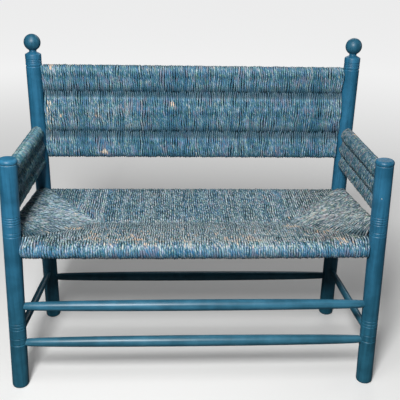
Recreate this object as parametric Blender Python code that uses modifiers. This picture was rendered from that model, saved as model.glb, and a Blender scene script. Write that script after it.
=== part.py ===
"""Two-seat armed bench: turned posts, plain rungs, and rush wound on hidden rails.

Metres, +Z up. +X runs along the bench to the right as one faces it, +Y runs from
front to back, and the origin lies on the floor under the middle of its outer box.
"""

import math

import bmesh
import bpy
from mathutils import Matrix, Vector

# Where the posts stand, between their axes: the front pair splays out towards the floor
# and the rear pair leans back by its rake at the balls
WIDTH = 0.957
FRONT_SPLAY = 0.062
POST_SPACING = 0.365
REAR_RAKE = 0.027

# Posts, all turned to one diameter
POST_DIAMETER = 0.047
FRONT_POST_HEIGHT = 0.698
REAR_POST_HEIGHT = 0.946
FOOT_CHAMFER = 0.003
FOOT_TRIM = 0.0015

# Domed cap of a front post and the groove under it
CAP_DIAMETER = 0.0488
CAP_HEIGHT = 0.0125
CAP_DOME = 0.0075
CAP_GROOVE = 0.0024

# Ball and neck of a rear post
BALL_DIAMETER = 0.0486
NECK_DIAMETER = 0.022
NECK_LENGTH = 0.0045
SHOULDER_CHAMFER = 0.002

# Scribed rings of a front post, as groups: height of the lowest, pitch and number
SEAT_RINGS_HEIGHT = 0.5205
SEAT_RINGS_PITCH = 0.007
SEAT_RINGS = 4
PAIR_RINGS_HEIGHT = 0.487
PAIR_RINGS_PITCH = 0.0105
PAIR_RINGS = 2
FOOT_RINGS_HEIGHT = 0.199
FOOT_RINGS_PITCH = 0.0095
FOOT_RINGS = 3
SINGLE_RING_HEIGHT = 0.169
FOOT_GROOVE_HEIGHT = 0.148

# Scribed rings of a rear post, counted down from its shoulder
NECK_RINGS_DROP = 0.0225
NECK_RINGS_PITCH = 0.005
NECK_RINGS = 3
NECK_GROOVE_DROP = 0.0415

# Scribed rings and the deeper groove
RING_WIDTH = 0.0026
RING_DEPTH = 0.0010
GROOVE_WIDTH = 0.0044
GROOVE_DEPTH = 0.0018

# Rungs: heights of their axes, and diameters at the ends and at the middle
FRONT_RUNG_UPPER = 0.265
FRONT_RUNG_LOWER = 0.145
REAR_RUNG = 0.145
SIDE_RUNG_FRONT = 0.166
SIDE_RUNG_REAR = 0.172
RUNG_END = 0.0205
RUNG_MIDDLE = 0.032
SIDE_RUNG_END = 0.016
SIDE_RUNG_MIDDLE = 0.0215

# Seat rails: height of the front one's axis, the rear one's rise above it, and the rise
# of the side rails above these two at their ends
SEAT_RAIL_HEIGHT = 0.4375
SEAT_RISE = 0.004
SIDE_RISE_FRONT = 0.0475
SIDE_RISE_REAR = 0.011

# Back and arm rails: drop of the top one below the post's top, then the pitches
BACK_TOP_DROP = 0.108
BACK_UPPER_PITCH = 0.116
BACK_LOWER_PITCH = 0.130
ARM_TOP_DROP = 0.042
ARM_PITCH = 0.047

# Rails under the rush, with their tenons
RAIL_DIAMETER = 0.029
ARM_RAIL_DIAMETER = 0.0265
RAIL_TENON = 0.015
ARM_RAIL_TENON = 0.013
RAIL_TAPER = 0.018

# Mortise and tenon
BORE_END_ROOM = 0.0005
DRILL_POINT = 0.001
CLEARANCE = 0.0003

# Rush: thickness of one layer, and how the layers close between the rails
CORD = 0.0066
BACK_WAIST = 0.015
ARM_WAIST = 0.014
APEX_INSET = 0.170
SEAT_DIP = 0.014
SEAT_THICKNESS = 0.016
CORNER_THICKNESS = 0.036

# Fineness of the solids
ROUND_SIDES = 16
DOME_STEPS = 3
BALL_STEPS = 8
SWELL_STEPS = 6
MITRE_STEPS = 6
ROLL_STEPS = 6
MERGE_DISTANCE = 0.00001

POST_RADIUS = POST_DIAMETER / 2
BALL_RADIUS = BALL_DIAMETER / 2
BALL_HEIGHT = REAR_POST_HEIGHT - BALL_RADIUS

# A tenon stops short of the widest one that could come in at a right angle to it
TENON_DEPTH = POST_RADIUS - RUNG_END / 2 - 2 * CLEARANCE
TENON_TIP = POST_RADIUS - TENON_DEPTH

SEAT_RAIL_FRONT = SEAT_RAIL_HEIGHT
SEAT_RAIL_REAR = SEAT_RAIL_HEIGHT + SEAT_RISE
SEAT_SIDE_FRONT = SEAT_RAIL_FRONT + SIDE_RISE_FRONT
SEAT_SIDE_REAR = SEAT_RAIL_REAR + SIDE_RISE_REAR
BACK_TOP = REAR_POST_HEIGHT - BACK_TOP_DROP
BACK_MIDDLE = BACK_TOP - BACK_UPPER_PITCH
BACK_RAILS = (BACK_TOP, BACK_MIDDLE, BACK_MIDDLE - BACK_LOWER_PITCH)
ARM_TOP = FRONT_POST_HEIGHT - ARM_TOP_DROP
ARM_RAILS = (ARM_TOP, ARM_TOP - ARM_PITCH, ARM_TOP - 2 * ARM_PITCH)

# The outer box reaches from the fronts of the caps to the backs of the balls
FRONT_REACH = max(POST_DIAMETER, CAP_DIAMETER) / 2
DEPTH = FRONT_REACH + POST_SPACING + REAR_RAKE + BALL_RADIUS
FRONT_Y = FRONT_REACH - DEPTH / 2
REAR_Y = FRONT_Y + POST_SPACING
LEFT = -1
RIGHT = 1

POST_PAINT = ("post_paint", (0.030, 0.148, 0.290), 0.34)
RUNG_PAINT = ("rung_paint", (0.038, 0.172, 0.330), 0.32)
BARE_WOOD = ("bare_wood", (0.420, 0.270, 0.140), 0.70)
PAINTED_RUSH = ("painted_rush", (0.070, 0.165, 0.260), 0.62)


def clear_scene():
    for item in list(bpy.data.objects):
        bpy.data.objects.remove(item, do_unlink=True)


def new_collection(name, parent):
    group = bpy.data.collections.new(name)
    parent.children.link(group)
    return group


def material(kind):
    """The material of this kind, made once: a Principled shader with its colour and roughness."""
    name, colour, roughness = kind
    found = bpy.data.materials.get(name)
    if found:
        return found
    made = bpy.data.materials.new(name)
    made.use_nodes = True
    made.diffuse_color = (*colour, 1.0)
    shader = made.node_tree.nodes["Principled BSDF"]
    shader.inputs["Base Color"].default_value = (*colour, 1.0)
    shader.inputs["Roughness"].default_value = roughness
    shader.inputs["Metallic"].default_value = 0.0
    return made


def turned(name, profile, group):
    """A solid turned about Z from (radius, height) points that run from its top to its bottom."""
    mesh = bpy.data.meshes.new(name)
    points = [(radius, 0.0, height) for radius, height in profile]
    edges = [(i, i + 1) for i in range(len(points) - 1)]
    mesh.from_pydata(points, edges, [])
    piece = bpy.data.objects.new(name, mesh)
    group.objects.link(piece)
    turning = piece.modifiers.new("Turning", "SCREW")
    turning.steps = ROUND_SIDES
    turning.render_steps = ROUND_SIDES
    turning.use_merge_vertices = True
    turning.merge_threshold = MERGE_DISTANCE
    turning.use_smooth_shade = True
    return piece


def along(start, end):
    """Matrix that puts a piece's own Z on the line from start to end, with its origin at start."""
    turn = (end - start).to_track_quat("Z", "Y").to_matrix().to_4x4()
    return Matrix.Translation(start) @ turn


def cut_away(piece, cutters):
    """Cut every shape of a collection of cutters out of a piece."""
    cut = piece.modifiers.new("Cut", "BOOLEAN")
    cut.operation = "DIFFERENCE"
    cut.solver = "EXACT"
    cut.operand_type = "COLLECTION"
    cut.collection = cutters


def front_axis(side, height):
    """Point on a front post's axis. The pair stands wider at the floor than at the top."""
    splay = FRONT_SPLAY * (1 - height / FRONT_POST_HEIGHT)
    return Vector((side * (WIDTH + splay) / 2, FRONT_Y, height))


def rear_axis(side, height):
    """Point on a rear post's axis, which leans back by the rake at the ball."""
    return Vector((side * WIDTH / 2, REAR_Y + REAR_RAKE * height / BALL_HEIGHT, height))


def arc(centre, radius, start, end, steps):
    """Points on an arc in a (across, up) plane, from one angle in degrees to another."""
    points = []
    for i in range(steps + 1):
        angle = math.radians(start + (end - start) * i / steps)
        points.append((centre[0] + radius * math.cos(angle), centre[1] + radius * math.sin(angle)))
    return points


def ring(height, width, depth):
    """Points of one V groove scribed round a post, top to bottom."""
    return [
        (POST_RADIUS, height + width / 2),
        (POST_RADIUS - depth, height),
        (POST_RADIUS, height - width / 2),
    ]


def ring_group(first, pitch, count):
    """Heights of evenly spaced rings, from the first one on."""
    return [first + pitch * i for i in range(count)]


def shaft_below(rings, groove_height):
    """Profile of a post's shaft and foot: scribed rings, a deeper groove, and a chamfered foot."""
    grooves = [(height, RING_WIDTH, RING_DEPTH) for height in rings]
    grooves.append((groove_height, GROOVE_WIDTH, GROOVE_DEPTH))
    profile = []
    for groove in sorted(grooves, reverse=True):
        profile += ring(*groove)
    profile.append((POST_RADIUS, FOOT_CHAMFER))
    profile.append((POST_RADIUS - FOOT_CHAMFER, -FOOT_TRIM))
    profile.append((0.0, -FOOT_TRIM))
    return profile


def front_post_profile():
    """A shallow dome on a short cap, a groove under it, and the shaft."""
    cap_radius = CAP_DIAMETER / 2
    shoulder = FRONT_POST_HEIGHT - CAP_DOME
    cap_bottom = FRONT_POST_HEIGHT - CAP_HEIGHT
    flat_top = cap_radius - CAP_DOME
    profile = [(0.0, FRONT_POST_HEIGHT)]
    profile += arc((flat_top, shoulder), CAP_DOME, 90, 0, DOME_STEPS)
    profile.append((cap_radius, cap_bottom + CAP_GROOVE / 2))
    profile.append((POST_RADIUS - CAP_GROOVE / 2, cap_bottom))
    profile.append((POST_RADIUS, cap_bottom - CAP_GROOVE / 2))
    rings = [SINGLE_RING_HEIGHT]
    rings += ring_group(FOOT_RINGS_HEIGHT, FOOT_RINGS_PITCH, FOOT_RINGS)
    rings += ring_group(PAIR_RINGS_HEIGHT, PAIR_RINGS_PITCH, PAIR_RINGS)
    rings += ring_group(SEAT_RINGS_HEIGHT, SEAT_RINGS_PITCH, SEAT_RINGS)
    return profile + shaft_below(rings, FOOT_GROOVE_HEIGHT)


def rear_post_profile():
    """A ball on a thin neck, a chamfered shoulder, and the shaft."""
    neck = NECK_DIAMETER / 2
    ball_foot = math.degrees(math.acos(neck / BALL_RADIUS))
    profile = [(0.0, REAR_POST_HEIGHT)]
    profile += arc((0.0, BALL_HEIGHT), BALL_RADIUS, 90, -ball_foot, BALL_STEPS)[1:]
    shoulder = profile[-1][1] - NECK_LENGTH
    profile.append((neck, shoulder))
    profile.append((POST_RADIUS - SHOULDER_CHAMFER, shoulder))
    profile.append((POST_RADIUS, shoulder - SHOULDER_CHAMFER))
    rings = ring_group(shoulder - NECK_RINGS_DROP, -NECK_RINGS_PITCH, NECK_RINGS)
    return profile + shaft_below(rings, shoulder - NECK_GROOVE_DROP)


def make_post(name, profile, foot, top, bench, cutters):
    """One leaning post, trimmed level at the floor. Its bores go in the collection returned."""
    post = turned(name, profile, bench)
    post.matrix_world = along(foot, top)
    post.data.materials.append(material(POST_PAINT))
    bores = new_collection(name + "_bores", cutters)
    bores.hide_render = True
    bpy.ops.mesh.primitive_cube_add(size=2 * POST_DIAMETER)
    trim = bpy.context.object
    trim.name = name + "_floor_trim"
    trim.location = foot - Vector((0.0, 0.0, POST_DIAMETER))
    move_to_cutters(trim, bores)
    cut_away(post, bores)
    return bores


def move_to_cutters(cutter, bores):
    for group in list(cutter.users_collection):
        group.objects.unlink(cutter)
    bores.objects.link(cutter)
    cutter.hide_render = True
    cutter.display_type = "WIRE"


def bore(name, place, face, depth_sign, diameter, bores):
    """A drilled hole with a conical end, on the axis of the piece that goes in it.

    face is where the post's surface crosses that axis, and depth_sign the way into the post.
    """
    radius = diameter / 2 + CLEARANCE
    mouth = face - depth_sign * POST_RADIUS / 2
    bottom = face + depth_sign * (TENON_DEPTH + BORE_END_ROOM)
    profile = [(0.0, mouth), (radius, mouth), (radius, bottom), (0.0, bottom + depth_sign * DRILL_POINT)]
    if depth_sign > 0:
        profile.reverse()
    cutter = turned(name, profile, bores)
    cutter.matrix_world = place
    cutter.hide_render = True
    cutter.display_type = "WIRE"


def fit_between(name, start, end, profile, tenon, finish, bench, posts):
    """One rung or rail between two posts' axes, with a bore of its own tenon size in each post."""
    length = (end[1] - start[1]).length
    place = along(start[1], end[1])
    piece = turned(name, profile(length), bench)
    piece.matrix_world = place
    piece.data.materials.append(material(finish))
    bore(name + "_start_bore", place, POST_RADIUS, -1, tenon, posts[start[0]])
    bore(name + "_end_bore", place, length - POST_RADIUS, 1, tenon, posts[end[0]])


def rung_profile(end_diameter, middle_diameter):
    """Profile of a rung that swells in half an ellipse, as a function of its length."""

    def profile(length):
        end = end_diameter / 2
        swell = (middle_diameter - end_diameter) / 2
        free = length - 2 * POST_RADIUS
        points = [(0.0, length - TENON_TIP), (end, length - TENON_TIP)]
        for i in range(SWELL_STEPS + 1):
            angle = math.pi * i / SWELL_STEPS
            share = (1 - math.cos(angle)) / 2
            radius = end + swell * math.sin(angle)
            points.append((radius, length - POST_RADIUS - free * share))
        return points + [(end, TENON_TIP), (0.0, TENON_TIP)]

    return profile


def rail_profile(tenon_diameter, body_diameter):
    """Profile of a rail under rush: a plain body with a tapered end and a tenon at each post."""

    def profile(length):
        tenon = tenon_diameter / 2
        half = [
            (0.0, TENON_TIP),
            (tenon, TENON_TIP),
            (tenon, POST_RADIUS),
            (body_diameter / 2, POST_RADIUS + RAIL_TAPER),
        ]
        return [(radius, length - place) for radius, place in half] + half[::-1]

    return profile


def tangent_angle(point, radius, side):
    """Angle in degrees at which cord from this point meets a roll about (0, 0), on one side."""
    distance = math.hypot(*point)
    reach = math.degrees(math.acos(min(1.0, radius / distance)))
    return math.degrees(math.atan2(point[1], point[0])) + side * reach


def panel_outline(heights, radius, waist):
    """Section of rush wound in figures of eight on three rails, in (across, up) points.

    heights are the rails' places up the panel, top first. The outline goes down one face
    and up the other, round each rail and in to the crossings halfway between rails.
    """
    crossings = [(a + b) / 2 for a, b in zip(heights, heights[1:])]
    face = []
    for i, height in enumerate(heights):
        start = 90.0
        end = -90.0
        if i > 0:
            start = tangent_angle((waist / 2, crossings[i - 1] - height), radius, -1)
        if i < len(crossings):
            end = tangent_angle((waist / 2, crossings[i] - height), radius, 1)
        face += arc((0.0, height), radius, start, end, ROLL_STEPS // 2 + 1)
        if i < len(crossings):
            face.append((waist / 2, crossings[i]))
    other = [(-across, up) for across, up in reversed(face[1:-1])]
    return face + other


def new_piece(name, mesh, finish, bench):
    """An object from a finished bmesh, with its faces pointing out."""
    bmesh.ops.recalc_face_normals(mesh, faces=mesh.faces)
    data = bpy.data.meshes.new(name)
    mesh.to_mesh(data)
    mesh.free()
    data.materials.append(material(finish))
    piece = bpy.data.objects.new(name, data)
    bench.objects.link(piece)
    return piece


def channels(name, rails, diameter, cutters):
    """Round passages for rails through rush, one for each pair of post-axis points."""
    group = new_collection(name + "_channels", cutters)
    group.hide_render = True
    radius = diameter / 2 + CLEARANCE
    for i, (start, end) in enumerate(rails):
        length = (end - start).length
        profile = [(0.0, length), (radius, length), (radius, 0.0), (0.0, 0.0)]
        cutter = turned(f"{name}_channel_{i + 1}", profile, group)
        cutter.matrix_world = along(start, end)
        cutter.hide_render = True
        cutter.display_type = "WIRE"
    return group


def panel_end(centres, across, radius, waist):
    """Points of a panel's end section, for rail centres listed top first and a way across."""
    up = (centres[0] - centres[-1]).normalized()
    heights = [(centre - centres[-1]).length for centre in centres]
    return [
        centres[-1] + up * height + across * width
        for width, height in panel_outline(heights, radius, waist)
    ]


def wound_panel(name, ends, rails, rail_diameter, bench, cutters):
    """Rush wound on three rails: a loft between two end sections, bored for the rails."""
    mesh = bmesh.new()
    caps = []
    for points in ends:
        caps.append(mesh.faces.new([mesh.verts.new(point) for point in points]))
    sides = [edge for cap in caps for edge in cap.edges]
    bmesh.ops.bridge_loops(mesh, edges=sides)
    piece = new_piece(name, mesh, PAINTED_RUSH, bench)
    cut_away(piece, channels(name, rails, rail_diameter, cutters))


def make_back(bench, cutters, posts):
    """Three rails between the rear posts and the rush wound on them."""
    rails = []
    for height, place in zip(BACK_RAILS, ("top", "middle", "bottom")):
        start = rear_axis(LEFT, height)
        end = rear_axis(RIGHT, height)
        rails.append((start, end))
        fit_between(
            f"back_rail_{place}",
            ("rear_post_left", start),
            ("rear_post_right", end),
            rail_profile(RAIL_TENON, RAIL_DIAMETER),
            RAIL_TENON,
            BARE_WOOD,
            bench,
            posts,
        )
    roll = RAIL_DIAMETER / 2 + CORD
    lean = (rear_axis(RIGHT, 1.0) - rear_axis(RIGHT, 0.0)).normalized()
    across = lean.cross(Vector((1.0, 0.0, 0.0)))
    ends = []
    for side in (LEFT, RIGHT):
        inward = Vector((-side * (POST_RADIUS + CLEARANCE), 0.0, 0.0))
        centres = [rear_axis(side, height) + inward for height in BACK_RAILS]
        ends.append(panel_end(centres, across, roll, BACK_WAIST))
    wound_panel("back_rush", ends, rails, RAIL_DIAMETER, bench, cutters)


def make_arm(side, word, bench, cutters, posts):
    """Three rails between a front and a rear post and the rush wound on them."""
    rails = []
    for height, place in zip(ARM_RAILS, ("top", "middle", "bottom")):
        start = front_axis(side, height)
        end = rear_axis(side, height)
        rails.append((start, end))
        fit_between(
            f"arm_{word}_rail_{place}",
            (f"front_post_{word}", start),
            (f"rear_post_{word}", end),
            rail_profile(ARM_RAIL_TENON, ARM_RAIL_DIAMETER),
            ARM_RAIL_TENON,
            BARE_WOOD,
            bench,
            posts,
        )
    roll = ARM_RAIL_DIAMETER / 2 + CORD
    gap = POST_RADIUS + CLEARANCE
    ends = []
    for axis, lengthways in ((front_axis, 1.0), (rear_axis, -1.0)):
        lean = (axis(side, 1.0) - axis(side, 0.0)).normalized()
        across = Vector((0.0, 1.0, 0.0)).cross(lean).normalized()
        away = lean.cross(across) * lengthways
        away *= math.copysign(1.0, away.y * lengthways)
        centres = [axis(side, height) + away * gap for height in ARM_RAILS]
        ends.append(panel_end(centres, across, roll, ARM_WAIST))
    wound_panel(f"arm_{word}_rush", ends, rails, ARM_RAIL_DIAMETER, bench, cutters)


def seat_corner(side, rear):
    """Inner corner of the rush at a post, as (point, rail height): where two gussets begin."""
    roll = RAIL_DIAMETER / 2 + CORD
    gap = POST_RADIUS + CLEARANCE
    if rear:
        across = rear_axis(side, SEAT_RAIL_REAR).x - side * gap
        back = rear_axis(side, SEAT_SIDE_REAR - roll).y - gap
        return Vector((across, back, SEAT_RAIL_REAR))
    across = front_axis(side, SEAT_RAIL_FRONT + roll).x - side * gap
    return Vector((across, FRONT_Y + gap, SEAT_RAIL_FRONT))


def seam_between(start, end, steps):
    """Pairs of top and bottom seam points from one (middle point, thickness) to another."""
    pairs = []
    for i in range(steps + 1):
        middle = start[0].lerp(end[0], i / steps)
        half = (start[1] + (end[1] - start[1]) * i / steps) / 2
        lift = Vector((0.0, 0.0, half))
        pairs.append((middle + lift, middle - lift))
    return pairs


def gusset(mesh, seam, axis_at, inward):
    """One gusset of the seat: cord from the top seam, round its rail, to the bottom seam."""
    roll = RAIL_DIAMETER / 2 + CORD
    rows = []
    for top, bottom in seam:
        centre = axis_at(top)
        flat = [((point - centre).dot(inward), point.z - centre.z) for point in (top, bottom)]
        start = tangent_angle(flat[0], roll, 1)
        end = tangent_angle(flat[1], roll, -1) + 360.0
        row = [top]
        for width, height in arc((0.0, 0.0), roll, start, end, ROLL_STEPS):
            row.append(centre + inward * width + Vector((0.0, 0.0, height)))
        row.append(bottom)
        rows.append([mesh.verts.new(point) for point in row])
    for row, following in zip(rows, rows[1:]):
        for k in range(len(row) - 1):
            mesh.faces.new((row[k], row[k + 1], following[k + 1], following[k]))
    mesh.faces.new(rows[0])
    mesh.faces.new(rows[-1])


def axis_point(start, end, component):
    """Function that gives the point of a rail's axis level with another point, along X or Y."""

    def at(point):
        share = (point[component] - start[component]) / (end[component] - start[component])
        return start.lerp(end, share)

    return at


def make_seat(bench, cutters, posts):
    """Four rails and the rush seat, whose four gussets meet in mitres and a centre seam."""
    rails = {
        "front": ("front_post_left", front_axis(LEFT, SEAT_RAIL_FRONT),
                  "front_post_right", front_axis(RIGHT, SEAT_RAIL_FRONT)),
        "rear": ("rear_post_left", rear_axis(LEFT, SEAT_RAIL_REAR),
                 "rear_post_right", rear_axis(RIGHT, SEAT_RAIL_REAR)),
        "left": ("front_post_left", front_axis(LEFT, SEAT_SIDE_FRONT),
                 "rear_post_left", rear_axis(LEFT, SEAT_SIDE_REAR)),
        "right": ("front_post_right", front_axis(RIGHT, SEAT_SIDE_FRONT),
                  "rear_post_right", rear_axis(RIGHT, SEAT_SIDE_REAR)),
    }
    for word, (start_post, start, end_post, end) in rails.items():
        fit_between(
            f"seat_rail_{word}",
            (start_post, start),
            (end_post, end),
            rail_profile(RAIL_TENON, RAIL_DIAMETER),
            RAIL_TENON,
            BARE_WOOD,
            bench,
            posts,
        )

    corners = {}
    for side in (LEFT, RIGHT):
        for rear in (False, True):
            corners[side, rear] = (seat_corner(side, rear), CORNER_THICKNESS)
    middle_height = (SEAT_RAIL_FRONT + SEAT_RAIL_REAR) / 2 - SEAT_DIP
    apexes = {}
    for side in (LEFT, RIGHT):
        front = corners[side, False][0]
        rear = corners[side, True][0]
        across = (front.x + rear.x) / 2 - side * APEX_INSET
        apexes[side] = (Vector((across, (front.y + rear.y) / 2, middle_height)), SEAT_THICKNESS)

    mesh = bmesh.new()
    centre_seam = seam_between(apexes[LEFT], apexes[RIGHT], 1)
    for word, rear, inward in (("front", False, Vector((0, 1, 0))), ("rear", True, Vector((0, -1, 0)))):
        left = seam_between(corners[LEFT, rear], apexes[LEFT], MITRE_STEPS)
        right = seam_between(apexes[RIGHT], corners[RIGHT, rear], MITRE_STEPS)
        seam = left + centre_seam[1:-1] + right
        gusset(mesh, seam, axis_point(rails[word][1], rails[word][3], 0), inward)
    for word, side in (("left", LEFT), ("right", RIGHT)):
        front_half = seam_between(corners[side, False], apexes[side], MITRE_STEPS)
        rear_half = seam_between(apexes[side], corners[side, True], MITRE_STEPS)
        seam = front_half + rear_half[1:]
        axis_at = axis_point(rails[word][1], rails[word][3], 1)
        gusset(mesh, seam, axis_at, Vector((-side, 0, 0)))
    bmesh.ops.remove_doubles(mesh, verts=mesh.verts, dist=MERGE_DISTANCE)
    piece = new_piece("seat_rush", mesh, PAINTED_RUSH, bench)
    lines = [(start, end) for _, start, _, end in rails.values()]
    cut_away(piece, channels("seat_rush", lines, RAIL_DIAMETER, cutters))


def make_rungs(bench, posts):
    """Two front rungs, one at the rear and one at each side, swelling to the middle."""
    swelling = rung_profile(RUNG_END, RUNG_MIDDLE)
    for word, height in (("upper", FRONT_RUNG_UPPER), ("lower", FRONT_RUNG_LOWER)):
        fit_between(
            f"front_rung_{word}",
            ("front_post_left", front_axis(LEFT, height)),
            ("front_post_right", front_axis(RIGHT, height)),
            swelling,
            RUNG_END,
            RUNG_PAINT,
            bench,
            posts,
        )
    fit_between(
        "rear_rung",
        ("rear_post_left", rear_axis(LEFT, REAR_RUNG)),
        ("rear_post_right", rear_axis(RIGHT, REAR_RUNG)),
        swelling,
        RUNG_END,
        RUNG_PAINT,
        bench,
        posts,
    )
    for word, side in (("left", LEFT), ("right", RIGHT)):
        fit_between(
            f"side_rung_{word}",
            (f"front_post_{word}", front_axis(side, SIDE_RUNG_FRONT)),
            (f"rear_post_{word}", rear_axis(side, SIDE_RUNG_REAR)),
            rung_profile(SIDE_RUNG_END, SIDE_RUNG_MIDDLE),
            SIDE_RUNG_END,
            RUNG_PAINT,
            bench,
            posts,
        )


def main():
    clear_scene()
    bench = new_collection("rush_bench", bpy.context.scene.collection)
    cutters = new_collection("cutters", bpy.context.scene.collection)
    cutters.hide_render = True
    posts = {}
    for word, side in (("left", LEFT), ("right", RIGHT)):
        name = f"front_post_{word}"
        top = front_axis(side, FRONT_POST_HEIGHT)
        posts[name] = make_post(name, front_post_profile(), front_axis(side, 0.0), top, bench, cutters)
        name = f"rear_post_{word}"
        top = rear_axis(side, REAR_POST_HEIGHT)
        posts[name] = make_post(name, rear_post_profile(), rear_axis(side, 0.0), top, bench, cutters)
    make_rungs(bench, posts)
    make_seat(bench, cutters, posts)
    make_back(bench, cutters, posts)
    for word, side in (("left", LEFT), ("right", RIGHT)):
        make_arm(side, word, bench, cutters, posts)


main()
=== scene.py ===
"""Two-seat armed bench: turned posts and rungs under worn blue paint, and rush wound cord by cord."""

import math
from typing import NamedTuple

import bmesh
import bpy
import numpy as np
from bpy.props import FloatProperty, FloatVectorProperty, IntProperty, PointerProperty
from mathutils import Matrix, Vector


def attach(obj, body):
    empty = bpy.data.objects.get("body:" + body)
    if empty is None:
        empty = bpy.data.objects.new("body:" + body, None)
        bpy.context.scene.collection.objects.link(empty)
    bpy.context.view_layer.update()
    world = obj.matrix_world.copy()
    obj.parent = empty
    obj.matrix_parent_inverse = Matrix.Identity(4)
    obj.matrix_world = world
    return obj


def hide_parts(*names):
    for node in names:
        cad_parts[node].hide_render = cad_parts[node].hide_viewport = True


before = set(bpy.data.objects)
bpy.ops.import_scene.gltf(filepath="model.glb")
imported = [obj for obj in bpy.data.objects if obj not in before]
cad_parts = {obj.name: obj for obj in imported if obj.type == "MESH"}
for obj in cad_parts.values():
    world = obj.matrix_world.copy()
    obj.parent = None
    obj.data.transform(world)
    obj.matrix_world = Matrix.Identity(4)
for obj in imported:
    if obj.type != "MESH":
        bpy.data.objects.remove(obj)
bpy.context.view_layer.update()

bl_info = {
    "name": "Rush Bench",
    "version": (1, 0, 0),
    "blender": (4, 5, 0),
    "location": "3D View > Sidebar > Bench",
    "description": "Turned and painted posts and rungs, and the rush seat, back and arms",
    "category": "Add Mesh",
}

LEFT = -1
RIGHT = 1
SIDES = (("left", LEFT), ("right", RIGHT))
PLACES = ("top", "middle", "bottom")
MERGE_DISTANCE = 0.00001

# Heights of the scribed rings and of the deeper groove on a front post.
FRONT_RINGS = (0.169, 0.199, 0.2085, 0.218, 0.487, 0.4975, 0.5205, 0.5275, 0.5345, 0.5415)
FOOT_GROOVE = 0.148
# On a rear post they are measured down from its shoulder.
NECK_RINGS = (0.0155, 0.0205, 0.0255)
NECK_GROOVE = 0.0345
# Faces round a post and round a rung, and how far a turned rung runs into its posts.
POST_FACES = 48
RUNG_FACES = 32
RUNG_REACH = 0.006
# Places and sizes of the two chips in the posts' paint.
CHIPS = (((-0.5160, -0.2190, 0.1836), 0.0026), ((0.4760, -0.2190, 0.5980), 0.0016))

# Seeds of the small unevenness of each panel's cords.
SEAT_SEEDS = {"front": 11, "rear": 21, "left": 31, "right": 41}
BACK_SEED = 101
ARM_SEEDS = {LEFT: 201, RIGHT: 211}
# Rings of corners along one cord of the seat, the back and the arms.
SEAT_CORD_RINGS = 44
BACK_CORD_RINGS = 96
ARM_CORD_RINGS = 66
# How far the cords of each gusset are stuffed up between the seam and their rail.
SEAT_HUMPS = {"front": 0.0050, "rear": 0.0015, "left": 0.0040, "right": 0.0040}
# Where a seat cord dips into the seam, from the end of its straight: (inward, up).
SEAM_DIP_DEEP = (0.0050, -0.0085)
SEAM_DIP = (0.0038, -0.0035)
SEAM_DIP_BELOW = (0.0045, 0.0065)
# From a post's surface to the rush of the seat, which is pressed into it, and of the back and arms.
SEAT_GAP = -0.0012
PANEL_GAP = 0.0006

# The camera: where it stands, its yaw, pitch and roll, and its lens and sensor in millimetres.
CAMERA_PLACE = (-0.07103, -1.66472, 1.20914)
CAMERA_TURN = (0.051488, 0.401320, -0.021040)
CAMERA_LENS = 55.283
CAMERA_SENSOR = 36.0
# The lamps: name, place, size and power in watts. All face the middle of the bench.
LAMPS = (
    ("key", (-0.47, -1.80, 2.10), (0.45, 0.6), 68.0),
    ("overhead", (-0.55, -0.9, 3.2), (0.7, 1.2), 18.0),
    ("rear", (0.8, 2.8, 2.4), (2.0, 1.4), 16.0),
    ("side", (2.8, 0.6, 1.5), (1.6, 1.2), 5.0),
)
LAMP_TARGET = (0.0, 0.0, 0.45)
# How far the floor reaches. To the camera it keeps this share of its colour, and glows by this
# much near the bench and by this much more from the second of two distances on.
FLOOR_REACH = 40.0
FLOOR_DIM = 0.09
FLOOR_GLOW = (0.10, 0.70)
FLOOR_GLOW_REACH = (0.6, 5.0)
# The sky's colour and the strength of its light, and how much brighter it is to the camera.
SKY_COLOUR = (0.95, 0.97, 1.0, 1.0)
SKY_LIGHT = 0.045
SKY_SEEN = 0.78


def length(name, value, description):
    """A size in metres."""
    return FloatProperty(name=name, default=value, description=description, unit="LENGTH", precision=4)


def colour(name, value, description):
    """A linear colour."""
    return FloatVectorProperty(
        name=name, default=value, description=description, subtype="COLOR", size=3, min=0.0, max=1.0
    )


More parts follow.
